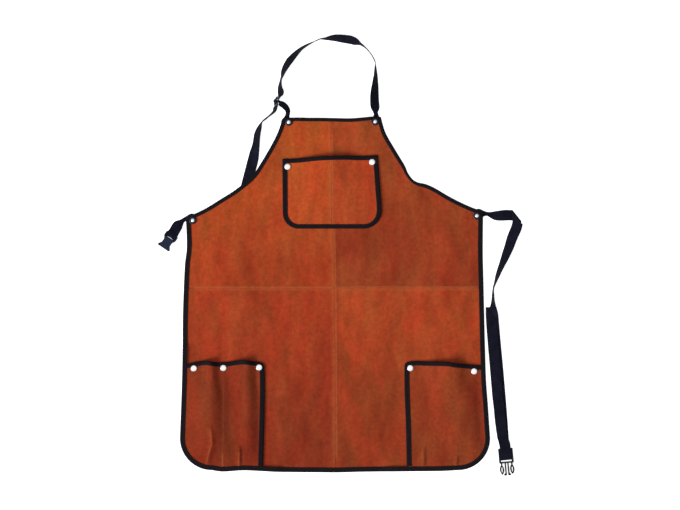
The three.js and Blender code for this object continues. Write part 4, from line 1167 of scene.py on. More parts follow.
@dataclass
class Lie:
    """How the layers lie: heights of the body's underside and of each pocket's."""

    outline: BodyOutline
    mounds: Table = (
        (-190.0, 70.0, 80.0, 62.0, 2.4), (175.0, 90.0, 85.0, 60.0, 2.2), (-60.0, -75.0, 90.0, 75.0, 2.0),
        (95.0, -60.0, 70.0, 80.0, 1.8), (0.0, -250.0, 85.0, 75.0, 2.2), (-10.0, 288.0, 55.0, 20.0, 1.2),
    )
    strap_rivets: Table = tuple(STRAP_RIVETS.values())
    corner_lift: Triple = (2.8, 24.0, 88.0)
    tail_lift: Triple = (1.8, 14.0, 64.0)
    tail_line: Table = ((-160.0, 236.0), (-184.0, 161.0))
    ripple: float = 0.55
    ripple_wave: float = 75.0
    ripple_margin: Pair = (14.0, 60.0)
    side_margin: float = 285.0
    bib_margin: Triple = (340.0, 1.25, 0.9)

    def lift(self, x: Array, y: Array) -> Array:
        """Rise over the strap ends: the faded lifts of all of them, as the root of their squares' sum.

        Args:
            x: Places across.
            y: Places along.

        Returns:
            The rise at each place.
        """
        rivets = np.array(self.strap_rivets)
        away = np.hypot(x[..., None] - rivets[:, 0], y[..., None] - rivets[:, 1])
        height, flat, fade = self.corner_lift
        corners = height * (1.0 - smoothstep(away, flat, fade))
        start, end = np.array(self.tail_line)
        run = end - start
        share = ((x - start[0]) * run[0] + (y - start[1]) * run[1]) / (run @ run)
        share = np.clip(share, 0.0, 1.0)
        from_tail = np.hypot(x - start[0] - share * run[0], y - start[1] - share * run[1])
        height, flat, fade = self.tail_lift
        tail = height * (1.0 - smoothstep(from_tail, flat, fade))
        return np.sqrt(np.sum(corners**2, axis=-1) + tail**2)

    def ripples(self, x: Array, y: Array) -> Array:
        """Shallow waves of the loose hide that die out towards the sewn edges.

        Args:
            x: Places across.
            y: Places along.

        Returns:
            The waves' height at each place.
        """
        side = np.minimum(self.side_margin - np.abs(x), y - self.outline.base)
        top, slope, steep = self.bib_margin
        bib = steep * (top - np.abs(x) * slope - y)
        inside = smoothstep(np.minimum(side, bib), *self.ripple_margin)
        waves = wave_field(x, y, 11, self.ripple_wave)
        return self.ripple * inside * np.clip(0.5 + 0.5 * waves, 0.0, 1.6)

    def under(self, x: Array, y: Array) -> Array:
        """Height of the body's underside."""
        rise = swells(self.mounds, x, y)
        return LAYERS.tape + LAYERS.gap + self.lift(x, y) + rise + self.ripples(x, y)

    def top(self, x: Array, y: Array) -> Array:
        """Height of the body's face."""
        return self.under(x, y) + LAYERS.suede


def swells(rows: Table, x: Array, y: Array) -> Array:
    """Sum of soft ellipses, each height (1 - r^2)^2 inside its rim.

    Args:
        rows: Centre x and y, half sizes in x and y, and height of each.
        x: Places across.
        y: Places along.

    Returns:
        The height at each place.
    """
    total = np.zeros(np.broadcast(x, y).shape)
    for centre_x, centre_y, half_x, half_y, height in rows:
        away = ((x - centre_x) / half_x) ** 2 + ((y - centre_y) / half_y) ** 2
        total = total + height * np.clip(1.0 - away, 0.0, None) ** 2
    return total


@dataclass(frozen=True)
class Stroke:
    """A narrow fold or shadow along a straight line: peak exp(-(d / width)^2), faded towards both ends."""

    start: Pair
    end: Pair
    width: float
    peak: float

    def value(self, x: Array, y: Array) -> Array:
        """What the stroke adds at each place.

        Args:
            x: Places across.
            y: Places along.

        Returns:
            A height or a share of shadow.
        """
        run = np.subtract(self.end, self.start)
        length = float(np.hypot(*run))
        along = ((x - self.start[0]) * run[0] + (y - self.start[1]) * run[1]) / length**2
        aside = ((y - self.start[1]) * run[0] - (x - self.start[0]) * run[1]) / length
        fade = smoothstep(along, 0.0, 0.3) * (1.0 - smoothstep(along, 0.7, 1.0))
        return self.peak * bell(aside, self.width) * fade


@dataclass(frozen=True)
class Bulge:
    """A compartment's rise between limits that differ at its mouth and at its base."""

    mouth: Pair
    base: Pair
    rise: float
    base_share: float
    lean: float = 1.0
    opens: Pair = (0.55, 0.92)
    starts: Pair = (0.03, 0.42)

    def height(self, x: Array, share: Array) -> Array:
        """Rise across the limits: the squared sine of pi t^lean, whose peak moves right as lean grows.

        Args:
            x: Places across.
            share: From 0 at the base to 1 at the mouth.

        Returns:
            The height at each place.
        """
        opened = smoothstep(share, *self.opens)
        start = lerp(self.base[0], self.mouth[0], opened)
        end = lerp(self.base[1], self.mouth[1], opened)
        across = np.sin(math.pi * np.clip((x - start) / (end - start), 0.0, 1.0) ** self.lean) ** 2
        return self.rise * across * smoothstep(share, *self.starts) * lerp(self.base_share, 1.0, share)


@dataclass
class PocketForm:
    """Height of one pocket over the body: its seat, its bulges and its creases."""

    lie: Lie
    mouth_rows: Table
    base: float
    bulges: tuple[Bulge, ...]
    folds: tuple[Stroke, ...] = ()
    # Strokes of painted shade: darker suede in creases and on slopes that face away from the key light.
    shadows: tuple[Stroke, ...] = ()
    # Strokes of paler tan: partly worn nap along the divider, partly painted highlight on fold crests.
    rubs_and_highlights: tuple[Stroke, ...] = ()

    def __post_init__(self) -> None:
        """Makes the mouth's line a function of x."""
        self.mouth = graph(self.mouth_rows, 0, 1)

    def under(self, x: Array, y: Array) -> Array:
        """Height of the pocket's underside: its seat on the body, its bulges and its folds.

        Args:
            x: Places across.
            y: Places along.

        Returns:
            The height at each place.
        """
        share = np.clip((y - self.base) / (self.mouth(x) - self.base), 0.0, 1.05)
        rise = sum(bulge.height(x, share) for bulge in self.bulges)
        rise = np.maximum(rise + sum(fold.value(x, y) for fold in self.folds), 0.0)
        return self.lie.top(x, y) + LAYERS.gap + LAYERS.pocket_seat + rise

    def top(self, x: Array, y: Array) -> Array:
        """Height of the pocket's face."""
        return self.under(x, y) + LAYERS.suede

    def tape_low(self, x: Array, y: Array) -> Array:
        """Lower face of the pocket's tape."""
        return self.under(x, y) - LAYERS.gap - LAYERS.tape

    def tape_high(self, x: Array, y: Array) -> Array:
        """Upper face of the pocket's tape."""
        return self.top(x, y) + LAYERS.gap + LAYERS.tape


@dataclass(frozen=True)
class FoldedTape:
    """Tape folded over an edge: two legs and a rounded fold between them."""

    width: float = LAYERS.tape_width
    fold_depth: float = 2.4
    pitch: float = 1.1
    fold_steps: int = 10
    fold_half: float = 1.5
    stitch_inset: float = 1.9
    mouth_lean: float = 0.13

    def section(self) -> tuple[Array, Array]:
        """The tape's section: two straight legs and half an ellipse between them.

        Returns:
            Depth in from the fold, and side from -1 below to 1 above, across the tape.
        """
        radius, reach = LAYERS.tape / 2, self.width - self.fold_depth
        flat = np.linspace(radius, reach, int(math.ceil((reach - radius) / self.pitch)) + 1)
        leg = self.width - np.concatenate([radius * RIM_STEPS, flat])
        angle = np.linspace(-math.pi / 2, math.pi / 2, self.fold_steps + 1)[1:-1]
        fold = self.fold_depth - (self.fold_depth - LAYERS.tape / 2) * np.cos(angle)
        depth = np.concatenate([leg, fold, leg[::-1]])
        side = np.concatenate([-np.ones(len(leg)), np.sin(angle), np.ones(len(leg))])
        return depth, side

    def build(
        self, bench: Workbench, name: str, node: str, path: Array, mitres: Array, faces: tuple[Plan, Plan],
        rests_on: Sequence[str] = (), ring: bool = False,
    ) -> Array:
        """The tape along a path.

        Args:
            bench: The workbench.
            name: The piece's name.
            node: The node that it stands for.
            path: Outer fold in plan, counter-clockwise.
            mitres: Inward vectors of the path.
            faces: Heights of the tape's lower and upper faces in plan.
            rests_on: Not used.
            ring: True where it closes on itself.

        Returns:
            The line of sewing on its upper leg, near the inner edge.
        """
        depth, side = self.section()
        plan = path[:, None] + mitres[:, None] * depth[:, None]
        x, y = plan[..., 0], plan[..., 1]
        lower = faces[0](x, y) + LAYERS.tape / 2
        upper = faces[1](x, y) - LAYERS.tape / 2
        middle = np.dstack([x, y, (lower + upper) / 2 + (upper - lower) / 2 * side])
        run = run_length(np.vstack([path, path[:1]]) if ring else path)
        thickness = np.tile(LAYERS.tape * rim(self.width - depth, LAYERS.tape / 2), (len(path), 1))
        if not ring:
            thickness = thickness * rim(np.minimum(run, run[-1] - run), LAYERS.tape / 2)[:, None]
        girth = run_length(np.stack([depth, side * self.fold_half], axis=1))
        places = np.dstack(np.broadcast_arrays(girth[None, :], run[:, None]))
        piece = bench.ribbon(f"tape_{name}", middle, thickness, places, ring)
        bench.finish(piece, TAPE, node)
        line = path + mitres * (self.width - self.stitch_inset)
        line = np.vstack([line, line[:1]]) if ring else line
        return np.column_stack([line, faces[1](line[:, 0], line[:, 1])])

    def fanned(self, path: Array, start: Array, end: Array) -> Array:
        """Inward vectors that fan out from a slanting cut at each end: n + t a max(0, 1 - s / (2 w |a|)).

        Here n and t are the path's normal and heading, a is the cut's slant, s the distance from it and w
        the tape's width, so that rows near a cut never cross each other.

        Args:
            path: Outer fold in plan, open.
            start: Direction of the cut at the first end.
            end: Direction of the cut at the last end.

        Returns:
            The inward vectors.
        """
        normal = inward_mitres(path, closed=False)
        heading = np.column_stack([normal[:, 1], -normal[:, 0]])
        run = run_length(path)
        lean = np.zeros(len(path))
        for cut, row, away in ((start, 0, run), (end, -1, run[-1] - run)):
            slant = float(cut @ heading[row]) / float(cut @ normal[row])
            reach = max(2 * self.width * abs(slant), LAYERS.tape)
            lean = lean + slant * np.clip(1.0 - away / reach, 0.0, None)
        return normal + heading * lean[:, None]

    def narrowed(self, path: Array, mitres: Array) -> Array:
        """Mitres times 1 - lean tx^2, where tx is the heading across, since such runs look narrower."""
        heading = unit(np.gradient(path, axis=0))[:, :1]
        return mitres * (1.0 - self.mouth_lean * heading**2)


def rimmed_path(path: Array, mitres: Array) -> tuple[Array, Array]:
    """An open path and its inward vectors with extra rows at both ends, where a tape's thickness fades."""
    run = run_length(path)
    return tuple(sampled(table, run, rimmed(run, LAYERS.tape / 2)) for table in (path, mitres))


# Sub-assemblies


@dataclass
class ApronBody:
    """Four suede panels, their seams and the tape round the outer edge."""

    bench: Workbench
    outline: BodyOutline
    lie: Lie
    tool_mouth: Callable[[Array], Array]
    hand_mouth: Callable[[Array], Array]
    tape_widths: tuple[float, float, float, float] = (LAYERS.tape_width, 7.6, 7.0, 7.6)
    pitch: float = 2.6
    columns: int = 116
    stack_fade: Pair = (24.0, 48.0)
    tool_inner_x: float = -136.9
    hand_inner_x: float = 136.4
    seam_rows: Pair = (-3.1, 2.8)
    seam_ridge: float = 0.5
    ridge_width: float = 5.5
    seam_inset: float = 9.0
    waist_ends: Pair = (-274.0, 272.0)
    # Paler tan beside the seams and the lap: partly worn nap, partly painted highlight on the raised seam.
    seam_wear_and_highlight: Pair = (0.5, 3.2)
    lap_wear_and_highlight: Triple = (0.3, 4.0, 3.6)
    open_half: float = 278.0
    open_top: float = 304.0
    open_hem: float = 12.0
    open_fade: float = 24.0
    curl_place: Pair = (143.0, 211.0)
    curl_reach: float = 24.0
    curl: float = 0.3

    def build(self) -> None:
        """Panels, edge tape and seams."""
        finishes = {
            (Side.LEFT, True): SUEDE_UPPER_LEFT,
            (Side.RIGHT, True): SUEDE_UPPER_RIGHT,
            (Side.LEFT, False): SUEDE_LOWER_LEFT,
            (Side.RIGHT, False): SUEDE_LOWER_RIGHT,
        }
        for (side, above), finish in finishes.items():
            self._panel(side, above, finish)
        self._edge_tapes()
        self._seams()

    def raised(self, x: Array, y: Array) -> Array:
        """Underside of the body with the folded seam allowances that lift it beside its seams."""
        near = np.maximum(bell(x - self.outline.seam(y), self.ridge_width), bell(y, self.ridge_width))
        return self.lie.under(x, y) + self.seam_ridge * near * self._open(x, y)

    def _open(self, x: Array, y: Array) -> Array:
        """1 on the open body, fading to 0 at the tape."""
        side = np.minimum(self.open_half - np.abs(x), y - self.outline.base - self.open_hem)
        return smoothstep(np.minimum(side, self.open_top - y), 0.0, self.open_fade)

    def _panel(self, side: Side, above: bool, finish: Suede) -> None:
        """One panel: rows between its outer edge and the seam, at levels from the waist to an end.

        Args:
            side: Which side.
            above: True over the waist seam, False under it.
            finish: Its suede.
        """
        heights, edge, corner = self.outline.side(side)
        gap, top = LAYERS.seam_gap / 2, heights[-1]
        if above:
            level = stations(top - gap, self.pitch, LAYERS.suede / 2) + gap
        else:
            level = self.outline.hem_levels(-gap, self.pitch)
        inner = self.outline.seam(level) + side.value * gap
        x, rows, profile = spread(level, np.interp(level, heights, edge), inner, self.columns)
        if above:
            share = np.clip((rows - corner) / (top - corner), 0.0, 1.0) ** 4
            y = rows + share * (self.outline.top_edge(x) - top)
        else:
            y = self.outline.bowed(x, rows)
        from_seam = x - self.outline.seam(y)
        # Paler tan mask along the seams: partly worn nap, partly painted highlight.
        strength, width = self.seam_wear_and_highlight
        wear = strength * bell(np.minimum(np.abs(from_seam), np.abs(y)), width) * self._open(x, y)
        if side is Side.LEFT:
            strength, aside, width = self.lap_wear_and_highlight
            wear = np.maximum(wear, strength * bell(from_seam + aside, width))
        middle = np.dstack([x, y, self.raised(x, y) + LAYERS.suede / 2])
        node = f"panel_{'upper' if above else 'lower'}_{side.word}"
        self.bench.suede(node, finish, middle, profile, {"wear": wear}, Stretch.HEM.value)

    def stack(self, x: Array, y: Array) -> Array:
        """Extra height of the edge tape where it also covers a pocket.

        Args:
            x: Places across.
            y: Places along.

        Returns:
            The height at each place.
        """
        tool = self._beyond(x - self.tool_inner_x) * self._beyond(y - self.tool_mouth(x))
        hand = self._beyond(self.hand_inner_x - x) * self._beyond(y - self.hand_mouth(x))
        return (LAYERS.gap + LAYERS.pocket_seat + LAYERS.suede) * np.maximum(tool, hand)

    def _beyond(self, distance: Array) -> Array:
        """1 up to the fade's start beyond an edge, and 0 after its end."""
        return 1.0 - smoothstep(distance, *self.stack_fade)

    def tape_low(self, x: Array, y: Array) -> Array:
        """Lower face of the edge tape."""
        return self.lie.under(x, y) - LAYERS.gap - LAYERS.tape

    def tape_high(self, x: Array, y: Array) -> Array:
        """Upper face of the edge tape."""
        return self.lie.top(x, y) + LAYERS.gap + LAYERS.tape + self.stack(x, y)

    def _curled(self, path: Array) -> Array:
        """Share of the tape's width that shows: 1 - c exp(-(d / r)^2) at a distance d from a tight bend."""
        away = np.linalg.norm(path - np.array(self.curl_place), axis=1, keepdims=True)
        return 1.0 - self.curl * bell(away, self.curl_reach)

    def _edge_tapes(self) -> None:
        """The four lengths of edge tape and the sewing on them."""
        runs = []
        faces = (self.tape_low, self.tape_high)
        for (stretch, span), tape_width in zip(self.outline.spans.items(), self.tape_widths):
            tape = FoldedTape(tape_width)
            path, corners = self.outline.points[span], self.outline.mitres[span]
            path, mitres = rimmed_path(path, tape.fanned(path, corners[0], corners[-1]))
            mitres = mitres * self._curled(path)
            runs.append(tape.build(self.bench, stretch.value, stretch.value, path, mitres, faces))
        self.bench.sew("sewing_edge_tape", runs, DARK_THREAD)

    def _seams(self) -> None:
        """Two rows of thread along the centre seam and along the waist seam."""
        top = self.outline.top_edge(np.array([0.0]))[0]
        level = np.linspace(self.outline.base + self.seam_inset, top - self.seam_inset, 500)
        across = np.linspace(*self.waist_ends, 420)
        centre = [self._on_face(self.outline.seam(level) + row, level) for row in self.seam_rows]
        waist = [self._on_face(across, np.full(across.shape, row)) for row in self.seam_rows]
        self.bench.sew("sewing_centre_seam", centre, PALE_THREAD)
        self.bench.sew("sewing_waist_seam", waist, PALE_THREAD)

    def _on_face(self, x: Array, y: Array) -> Array:
        """Points on the body's face."""
        return np.column_stack([x, y, self.raised(x, y) + LAYERS.suede])


@dataclass
class ChestPocket:
    """Chest pocket pieced from two halves, with tape all round."""

    bench: Workbench
    form: PocketForm
    tape: FoldedTape = FoldedTape()
    bottom: float = 112.8
    corner_left: float = 30.0
    corner_right: float = 34.0
    seam: float = -5.5
    mouth_level: Pair = (243.2, 250.4)
    bend_from: float = 190.0
    left_edge: Table = ((-99.0, 114.0), (-99.9, 253.0))
    right_edge: Table = ((88.8, 114.0), (88.4, 155.2), (86.1, 186.6), (81.3, 253.0))
    pitch: float = 1.7
    columns: int = 56
    seam_rows: Pair = (-2.4, 2.4)
    seam_inset: float = 10.5
    # Paler tan beside the seam and the lap: partly worn nap, partly painted highlight on the raised seam.
    seam_wear_and_highlight: Pair = (0.45, 3.0)
    lap_wear_and_highlight: Triple = (0.3, 4.0, 3.4)

    def build(self) -> None:
        """Both halves, the tape and the sewing."""
        for side, finish in ((Side.LEFT, SUEDE_CHEST_LEFT), (Side.RIGHT, SUEDE_CHEST_RIGHT)):
            self._half(side, finish)
        self._binding()
        self._seam()

    def _edge(self, side: Side, depth: float, level: Array) -> Array:
        """A side edge at a depth inside the tape's fold, rounded at the bottom corner by a circle.

        Args:
            side: Which side.
            depth: Depth inside the fold.
            level: Levels to give the edge at.

        Returns:
            The edge's x at each level.
        """
        left = side is Side.LEFT
        rows, radius = (self.left_edge, self.corner_left) if left else (self.right_edge, self.corner_right)
        straight = graph(rows, 1, 0)(level) - side.value * depth
        drop = np.clip(self.bottom + radius - level, 0.0, None)
        reach = radius - depth
        return straight - side.value * (reach - np.sqrt(np.clip(reach**2 - drop**2, 0.0, None)))

    def _half(self, side: Side, finish: Suede) -> None:
        """One half of the pocket's face.

        Args:
            side: Which half.
            finish: Its suede.
        """
        depth, left = LAYERS.edge_depth, side is Side.LEFT
        turn = self.bottom + (self.corner_left if left else self.corner_right)
        mouth = self.mouth_level[0 if left else 1]
        level = rounded_levels(self.bottom + depth, turn, mouth, self.pitch, 22)
        inner = np.full(level.shape, self.seam + side.value * LAYERS.seam_gap / 2)
        x, rows, profile = spread(level, self._edge(side, depth, level), inner, self.columns)
        bend = np.clip((rows - self.bend_from) / (mouth - self.bend_from), 0.0, 1.0) ** 2
        y = rows + bend * (self.form.mouth(x) - depth - mouth)
        # Paler tan mask along the seam: partly worn nap, partly painted highlight.
        strength, width = self.seam_wear_and_highlight
        wear = strength * bell(x - self.seam, width)
        if left:
            strength, aside, width = self.lap_wear_and_highlight
            wear = np.maximum(wear, strength * bell(x - self.seam + aside, width))
        middle = np.dstack([x, y, self.form.under(x, y) + LAYERS.suede / 2])
        node = f"chest_pocket_{side.word}"
        self.bench.suede(node, finish, middle, profile, {"wear": wear}, "chest_pocket_binding")

    def _paths(self) -> tuple[Array, Array]:
        """Outer fold of the tape, in two runs.

        Returns:
            Down the left side, round the bottom and up the right side, and back along the mouth.
        """
        first, last = self.form.mouth_rows[0], self.form.mouth_rows[-1]
        left_foot, right_foot = self.bottom + self.corner_left, self.bottom + self.corner_right
        down = np.linspace(first[1], left_foot, 40)
        up = np.linspace(right_foot, last[1], 40)
        left_x, right_x = graph(self.left_edge, 1, 0), graph(self.right_edge, 1, 0)
        left_centre = (float(left_x(left_foot)) + self.corner_left, left_foot)
        right_centre = (float(right_x(right_foot)) - self.corner_right, right_foot)
        mouth = np.linspace(last[0], first[0], 80)
        pieces = [
            np.column_stack([left_x(down), down]),
            arc(left_centre, self.corner_left, 180, 270, 24),
            arc(right_centre, self.corner_right, 270, 360, 24),
            np.column_stack([right_x(up), up]),
        ]
        around = even(np.concatenate(pieces), 1.8)
        return around, even(np.column_stack([mouth, self.form.mouth(mouth)]), 1.8)

    def _binding(self) -> None:
        """Tape round the whole pocket."""
        tape, (around, across) = self.tape, self._paths()
        path = np.concatenate([around, across[1:-1]])
        corners = inward_mitres(path, closed=True)
        left, right = corners[0], corners[len(around) - 1]
        mitres = np.concatenate([tape.fanned(around, left, right), tape.fanned(across, right, left)[1:-1]])
        mitres = tape.narrowed(path, mitres)
        faces = (self.form.tape_low, self.form.tape_high)
        node, carrier = "chest_pocket_binding", ["suede_panel_upper_left"]
        run = tape.build(self.bench, "chest_pocket", node, path, mitres, faces, carrier, ring=True)
        self.bench.sew("sewing_chest_tape", [run], DARK_THREAD)

    def _seam(self) -> None:
        """Two rows of thread along the pocket's seam."""
        top = float(self.form.mouth(self.seam)) - self.seam_inset
        y = np.linspace(self.bottom + self.seam_inset, top, 160)
        places = [np.full(y.shape, self.seam + row) for row in self.seam_rows]
        runs = [np.column_stack([x, y, self.form.top(x, y)]) for x in places]
        self.bench.sew("sewing_chest_seam", runs, PALE_THREAD)


@dataclass
class LowerPocket:
    """Tool or hand pocket, caught in the hem tape on its outer side and bound on its mouth and inner side."""

    bench: Workbench
    outline: BodyOutline
    form: PocketForm
    pocket: Pocket
    side: Side
    inner_rows: Table
    finish: Suede
    divider: float | None = None
    tape: FoldedTape = FoldedTape()
    mouth_corner: float = 8.0
    mouth_middle: float = 200.0
    bend_from: float = -220.0
    tape_end_slack: float = 2.2
    divider_ends: Pair = (9.5, 19.0)
    pitch: float = 1.8
    columns: int = 110

    def __post_init__(self) -> None:
        """Reads the inner edge and the level of the mouth."""
        self.inner = graph(self.inner_rows, 1, 0)
        middle = self.side.value * self.mouth_middle
        self.mouth_level = float(self.form.mouth(middle)) - LAYERS.edge_depth
        self.heights, self.edge, _ = self.outline.side(self.side)

    def build(self) -> None:
        """The face, its tape and its sewing."""
        self._face()
        self._binding()
        if self.divider is not None:
            self._divider()

    def _face(self) -> None:
        """The suede face, on rows from the hem to the mouth."""
        depth = LAYERS.edge_depth
        level = self.outline.hem_levels(self.mouth_level, self.pitch)
        corner = self.mouth_corner * (1.0 - rim(self.mouth_level - level, self.mouth_corner)) / 2
        inner = self.inner(level) + self.side.value * (depth + corner)
        x, rows, profile = spread(level, np.interp(level, self.heights, self.edge), inner, self.columns)
        share = np.clip((rows - self.bend_from) / (self.mouth_level - self.bend_from), 0.0, 1.0) ** 2
        y = self.outline.bowed(x, rows) + share * (self.form.mouth(x) - depth - self.mouth_level)
        # Masks of paler tan, partly worn nap and partly painted highlight, and of painted shade, from the
        # pocket's strokes.
        strokes = {"wear": self.form.rubs_and_highlights, "shade": self.form.shadows}
        masks = {key: np.clip(sum(s.value(x, y) for s in some), 0.0, 1.0) for key, some in strokes.items()}
        middle = np.dstack([x, y, self.form.under(x, y) + LAYERS.suede / 2])
        node = f"{self.pocket.value}_pocket"
        self.bench.suede(node, self.finish, middle, profile, masks, f"{node}_binding")

    def _path(self) -> Array:
        """Outer fold of the tape: along the mouth, round the corner and down the inner side.

        Returns:
            Its points, counter-clockwise round the suede.
        """
        sign = self.side.value
        outer = float(np.interp(self.mouth_level, self.heights, self.edge))
        outer -= sign * (LAYERS.tape_width - LAYERS.edge_depth + LAYERS.seam_gap)
        corner_x = float(self.inner(self.mouth_level)) + sign * self.mouth_corner
        corner_y = float(self.form.mouth(corner_x)) - self.mouth_corner
        end = self.outline.base - LAYERS.edge_depth - self.outline.hem_bow + LAYERS.tape_width
        end += LAYERS.gap + self.tape_end_slack
        across = np.linspace(outer, corner_x, 80)
        mouth = np.column_stack([across, self.form.mouth(across)])
        angles = (90.0, 180.0) if sign > 0 else (90.0, 0.0)
        turn = arc((corner_x, corner_y), self.mouth_corner, *angles, 16)
        level = np.linspace(corner_y, end, 80)
        down = np.column_stack([self.inner(level), level])
        path = even(np.concatenate([mouth, turn[1:-1], down]), 1.8)
        return path if sign > 0 else path[::-1]

    def _cut(self) -> Array:
        """Direction down the body's outer edge at the mouth, which the end of the mouth's tape follows."""
        levels = np.array([self.mouth_level, self.mouth_level - self.tape.width])
        return np.array([np.diff(np.interp(levels, self.heights, self.edge))[0], -self.tape.width])

    def _binding(self) -> None:
        """Tape on the mouth and the inner side."""
        tape, path = self.tape, self._path()
        normals = inward_mitres(path, closed=False)
        cuts = (self._cut(), normals[-1]) if self.side is Side.RIGHT else (normals[0], self._cut())
        path, mitres = rimmed_path(path, tape.narrowed(path, tape.fanned(path, *cuts)))
        faces = (self.form.tape_low, self.form.tape_high)
        name, carrier = f"{self.pocket.value}_pocket", [f"suede_panel_lower_{self.side.word}"]
        run = tape.build(self.bench, name, f"{name}_binding", path, mitres, faces, carrier)
        self.bench.sew(f"sewing_{self.pocket.value}_tape", [run], DARK_THREAD)

    def _divider(self) -> None:
        """One row of thread between the compartments."""
        low, high = self.divider_ends
        y = np.linspace(self.outline.base + low, float(self.form.mouth(self.divider)) - high, 200)
        x = np.full(y.shape, self.divider)
        run = np.column_stack([x, y, self.form.top(x, y)])
        self.bench.sew(f"sewing_{self.pocket.value}_divider", [run], BROWN_THREAD)


@dataclass
class Rivets:
    """Silver pocket rivets, and strap rivets on black washers."""

    bench: Workbench
    lie: Lie
    pocket_places: dict[str, Pair]
    strap_places: dict[str, Pair]
    shank: float = 2.4
    hole: float = 2.8
    back: float = 6.0
    back_height: float = 0.8
    pocket_cap: Triple = (5.7, 0.9, 1.5)
    strap_cap: Triple = (3.3, 0.7, 1.5)
    washer: tuple[float, float, float, float] = (7.2, 0.8, 1.5, 4.7)

    def build(self) -> None:
        """Every rivet and washer."""
        for name, place in self.pocket_places.items():
            layers = 2 * LAYERS.suede + LAYERS.pocket_seat + LAYERS.tape + 3 * LAYERS.gap
            self._rivet(name, place, self._under(place) + layers, self.pocket_cap)
        for name, place in self.strap_places.items():
            seat = self._under(place) + LAYERS.suede + LAYERS.tape + 2 * LAYERS.gap
            self._washer(name, place, seat)
            self._rivet(name, place, seat + self.washer[2] + LAYERS.gap, self.strap_cap)

    def _under(self, place: Pair) -> float:
        """Height of the body's underside at a rivet."""
        return float(self.lie.under(np.array([place[0]]), np.array([place[1]]))[0])

    def _rivet(self, name: str, place: Pair, seat: float, cap: Triple) -> None:
        """A rivet from its back cap on the floor to its front cap: a rolled rim and a shallow dome.

        Args:
            name: Its place on the apron, as the nodes spell it.
            place: Its axis in the layout.
            seat: Height that the front cap sits on.
            cap: Radius, rim height and full height of the front cap.
        """
        radius, rim_height, height = cap
        roll = rim_height / 2
        edge = arc((radius - roll, seat + roll), roll, -70, 60, 8)
        share = np.linspace(0.0, 1.0, 14)[1:]
        rise = lerp(edge[-1, 1], seat + height, 1.0 - (1.0 - share) ** 3)
        dome = np.column_stack([edge[-1, 0] * (1.0 - share), rise])
        back, thick = self.back, self.back_height
        foot = [
            [0.0, 0.0], [back - 0.35, 0.0], [back - 0.1, 0.1], [back, 0.35], [back - 0.12, thick - 0.1],
            [back - 0.4, thick], [self.shank, thick], [self.shank, seat],
        ]
        piece = self.bench.turned(f"cap_{name}", np.concatenate([foot, edge, dome]), place)
        self.bench.finish(piece, NICKEL, f"rivet_{name}")

    def _washer(self, name: str, place: Pair, seat: float) -> None:
        """A washer with a flat seat, a sloping flank and rounded edges.

        Args:
            name: Its place on the apron, as the nodes spell it.
            place: Its axis in the layout.
            seat: Height that it sits on.
        """
        radius, rim_height, height, flat = self.washer
        roll, top, hole = rim_height / 2, seat + height, self.hole
        edge = arc((radius - roll, seat + roll), roll, -60, 70, 8)
        share = np.linspace(0.0, 1.0, 9)[1:]
        rise = lerp(edge[-1, 1], top, np.sin(share * math.pi / 2))
        flank = np.column_stack([lerp(edge[-1, 0], flat, share), rise])
        inside = [[hole + 0.3, top], [hole, top - 0.3], [hole, seat], [radius - roll, seat]]
        piece = self.bench.turned(f"collar_{name}", np.concatenate([edge, flank, inside]), place, closed=True)
        self.bench.finish(piece, BLACK_METAL, f"washer_{name}")


@dataclass(frozen=True)
class Axes:
    """A piece of hardware's own axes: along its pull, across to the left, and up."""

    place: Pair
    heading: Pair

    @property
    def forward(self) -> Array:
        """Unit vector along the pull."""
        return unit(np.array([*self.heading, 0.0]))

    @property
    def left(self) -> Array:
        """Unit vector across to the left."""
        return np.cross([0.0, 0.0, 1.0], self.forward)

    def at(self, along: Array, left: Array, height: Array) -> Array:
        """Layout points from the hardware's own coordinates.

        Args:
            along: Distance along the pull.
            left: Distance across.
            height: Height over the floor.

        Returns:
            The points.
        """
        start = np.array([*self.place, 0.0])
        up = np.array([0.0, 0.0, 1.0])
        parts = ((along, self.forward), (left, self.left), (height, up))
        return start + sum(np.asarray(share, float)[..., None] * axis for share, axis in parts)

    def local(self, points: Array) -> tuple[Array, Array, Array]:
        """The hardware's own coordinates of layout points."""
        away = points - np.array([*self.place, 0.0])
        return away @ self.forward, away @ self.left, away[..., 2]


@dataclass
class Rows:
    """Webbing as rows: its middle, the vector from there to its left edge, and how far both edges bow."""

    centre: Array
    edge: Array
    bow: Array | None = None

    def columns(self) -> Array:
        """Middle, edge and bow side by side."""
        return np.hstack([self.centre, self.edge, np.zeros_like(self.edge) if self.bow is None else self.bow])

    def __add__(self, other: Rows) -> Rows:
        """These rows followed by others."""
        return Rows(*np.split(np.vstack([self.columns(), other.columns()]), 3, axis=1))

    def flipped(self) -> Rows:
        """The same rows with left and right changed over."""
        return Rows(self.centre, -self.edge, self.bow)

    def refined(self, pitch: float, passes: int) -> Rows:
        """Even rows about a pitch apart, each pass softening kinks by weights 1, 2, 1.

        Args:
            pitch: Step along the webbing.
            passes: How often the rows are softened.

        Returns:
            The new rows.
        """
        run = run_length(self.centre)
        lengths = np.linspace(0.0, run[-1], int(math.ceil(run[-1] / pitch)) + 1)
        table = sampled(self.columns(), run, lengths)
        for _ in range(passes):
            table[1:-1] = (table[:-2] + 2 * table[1:-1] + table[2:]) / 4
        return Rows(*np.split(table, 3, axis=1))

    def surface(self, across: Array) -> tuple[Array, Array]:
        """Middle surface of the webbing: middle + s edge + s^2 bow, where s runs from -1 to 1.

        Args:
            across: Values of s.

        Returns:
            Grid of points, and the length along the webbing at each row. Rows crowd at the two rounded ends.
        """
        run = run_length(self.centre)
        lengths = rimmed(run, LAYERS.webbing / 2)
        table = sampled(self.columns(), run, lengths)
        centre, edge, bow = (part[:, None] for part in np.split(table, 3, axis=1))
        return centre + edge * across[:, None] + bow * across[:, None] ** 2, lengths


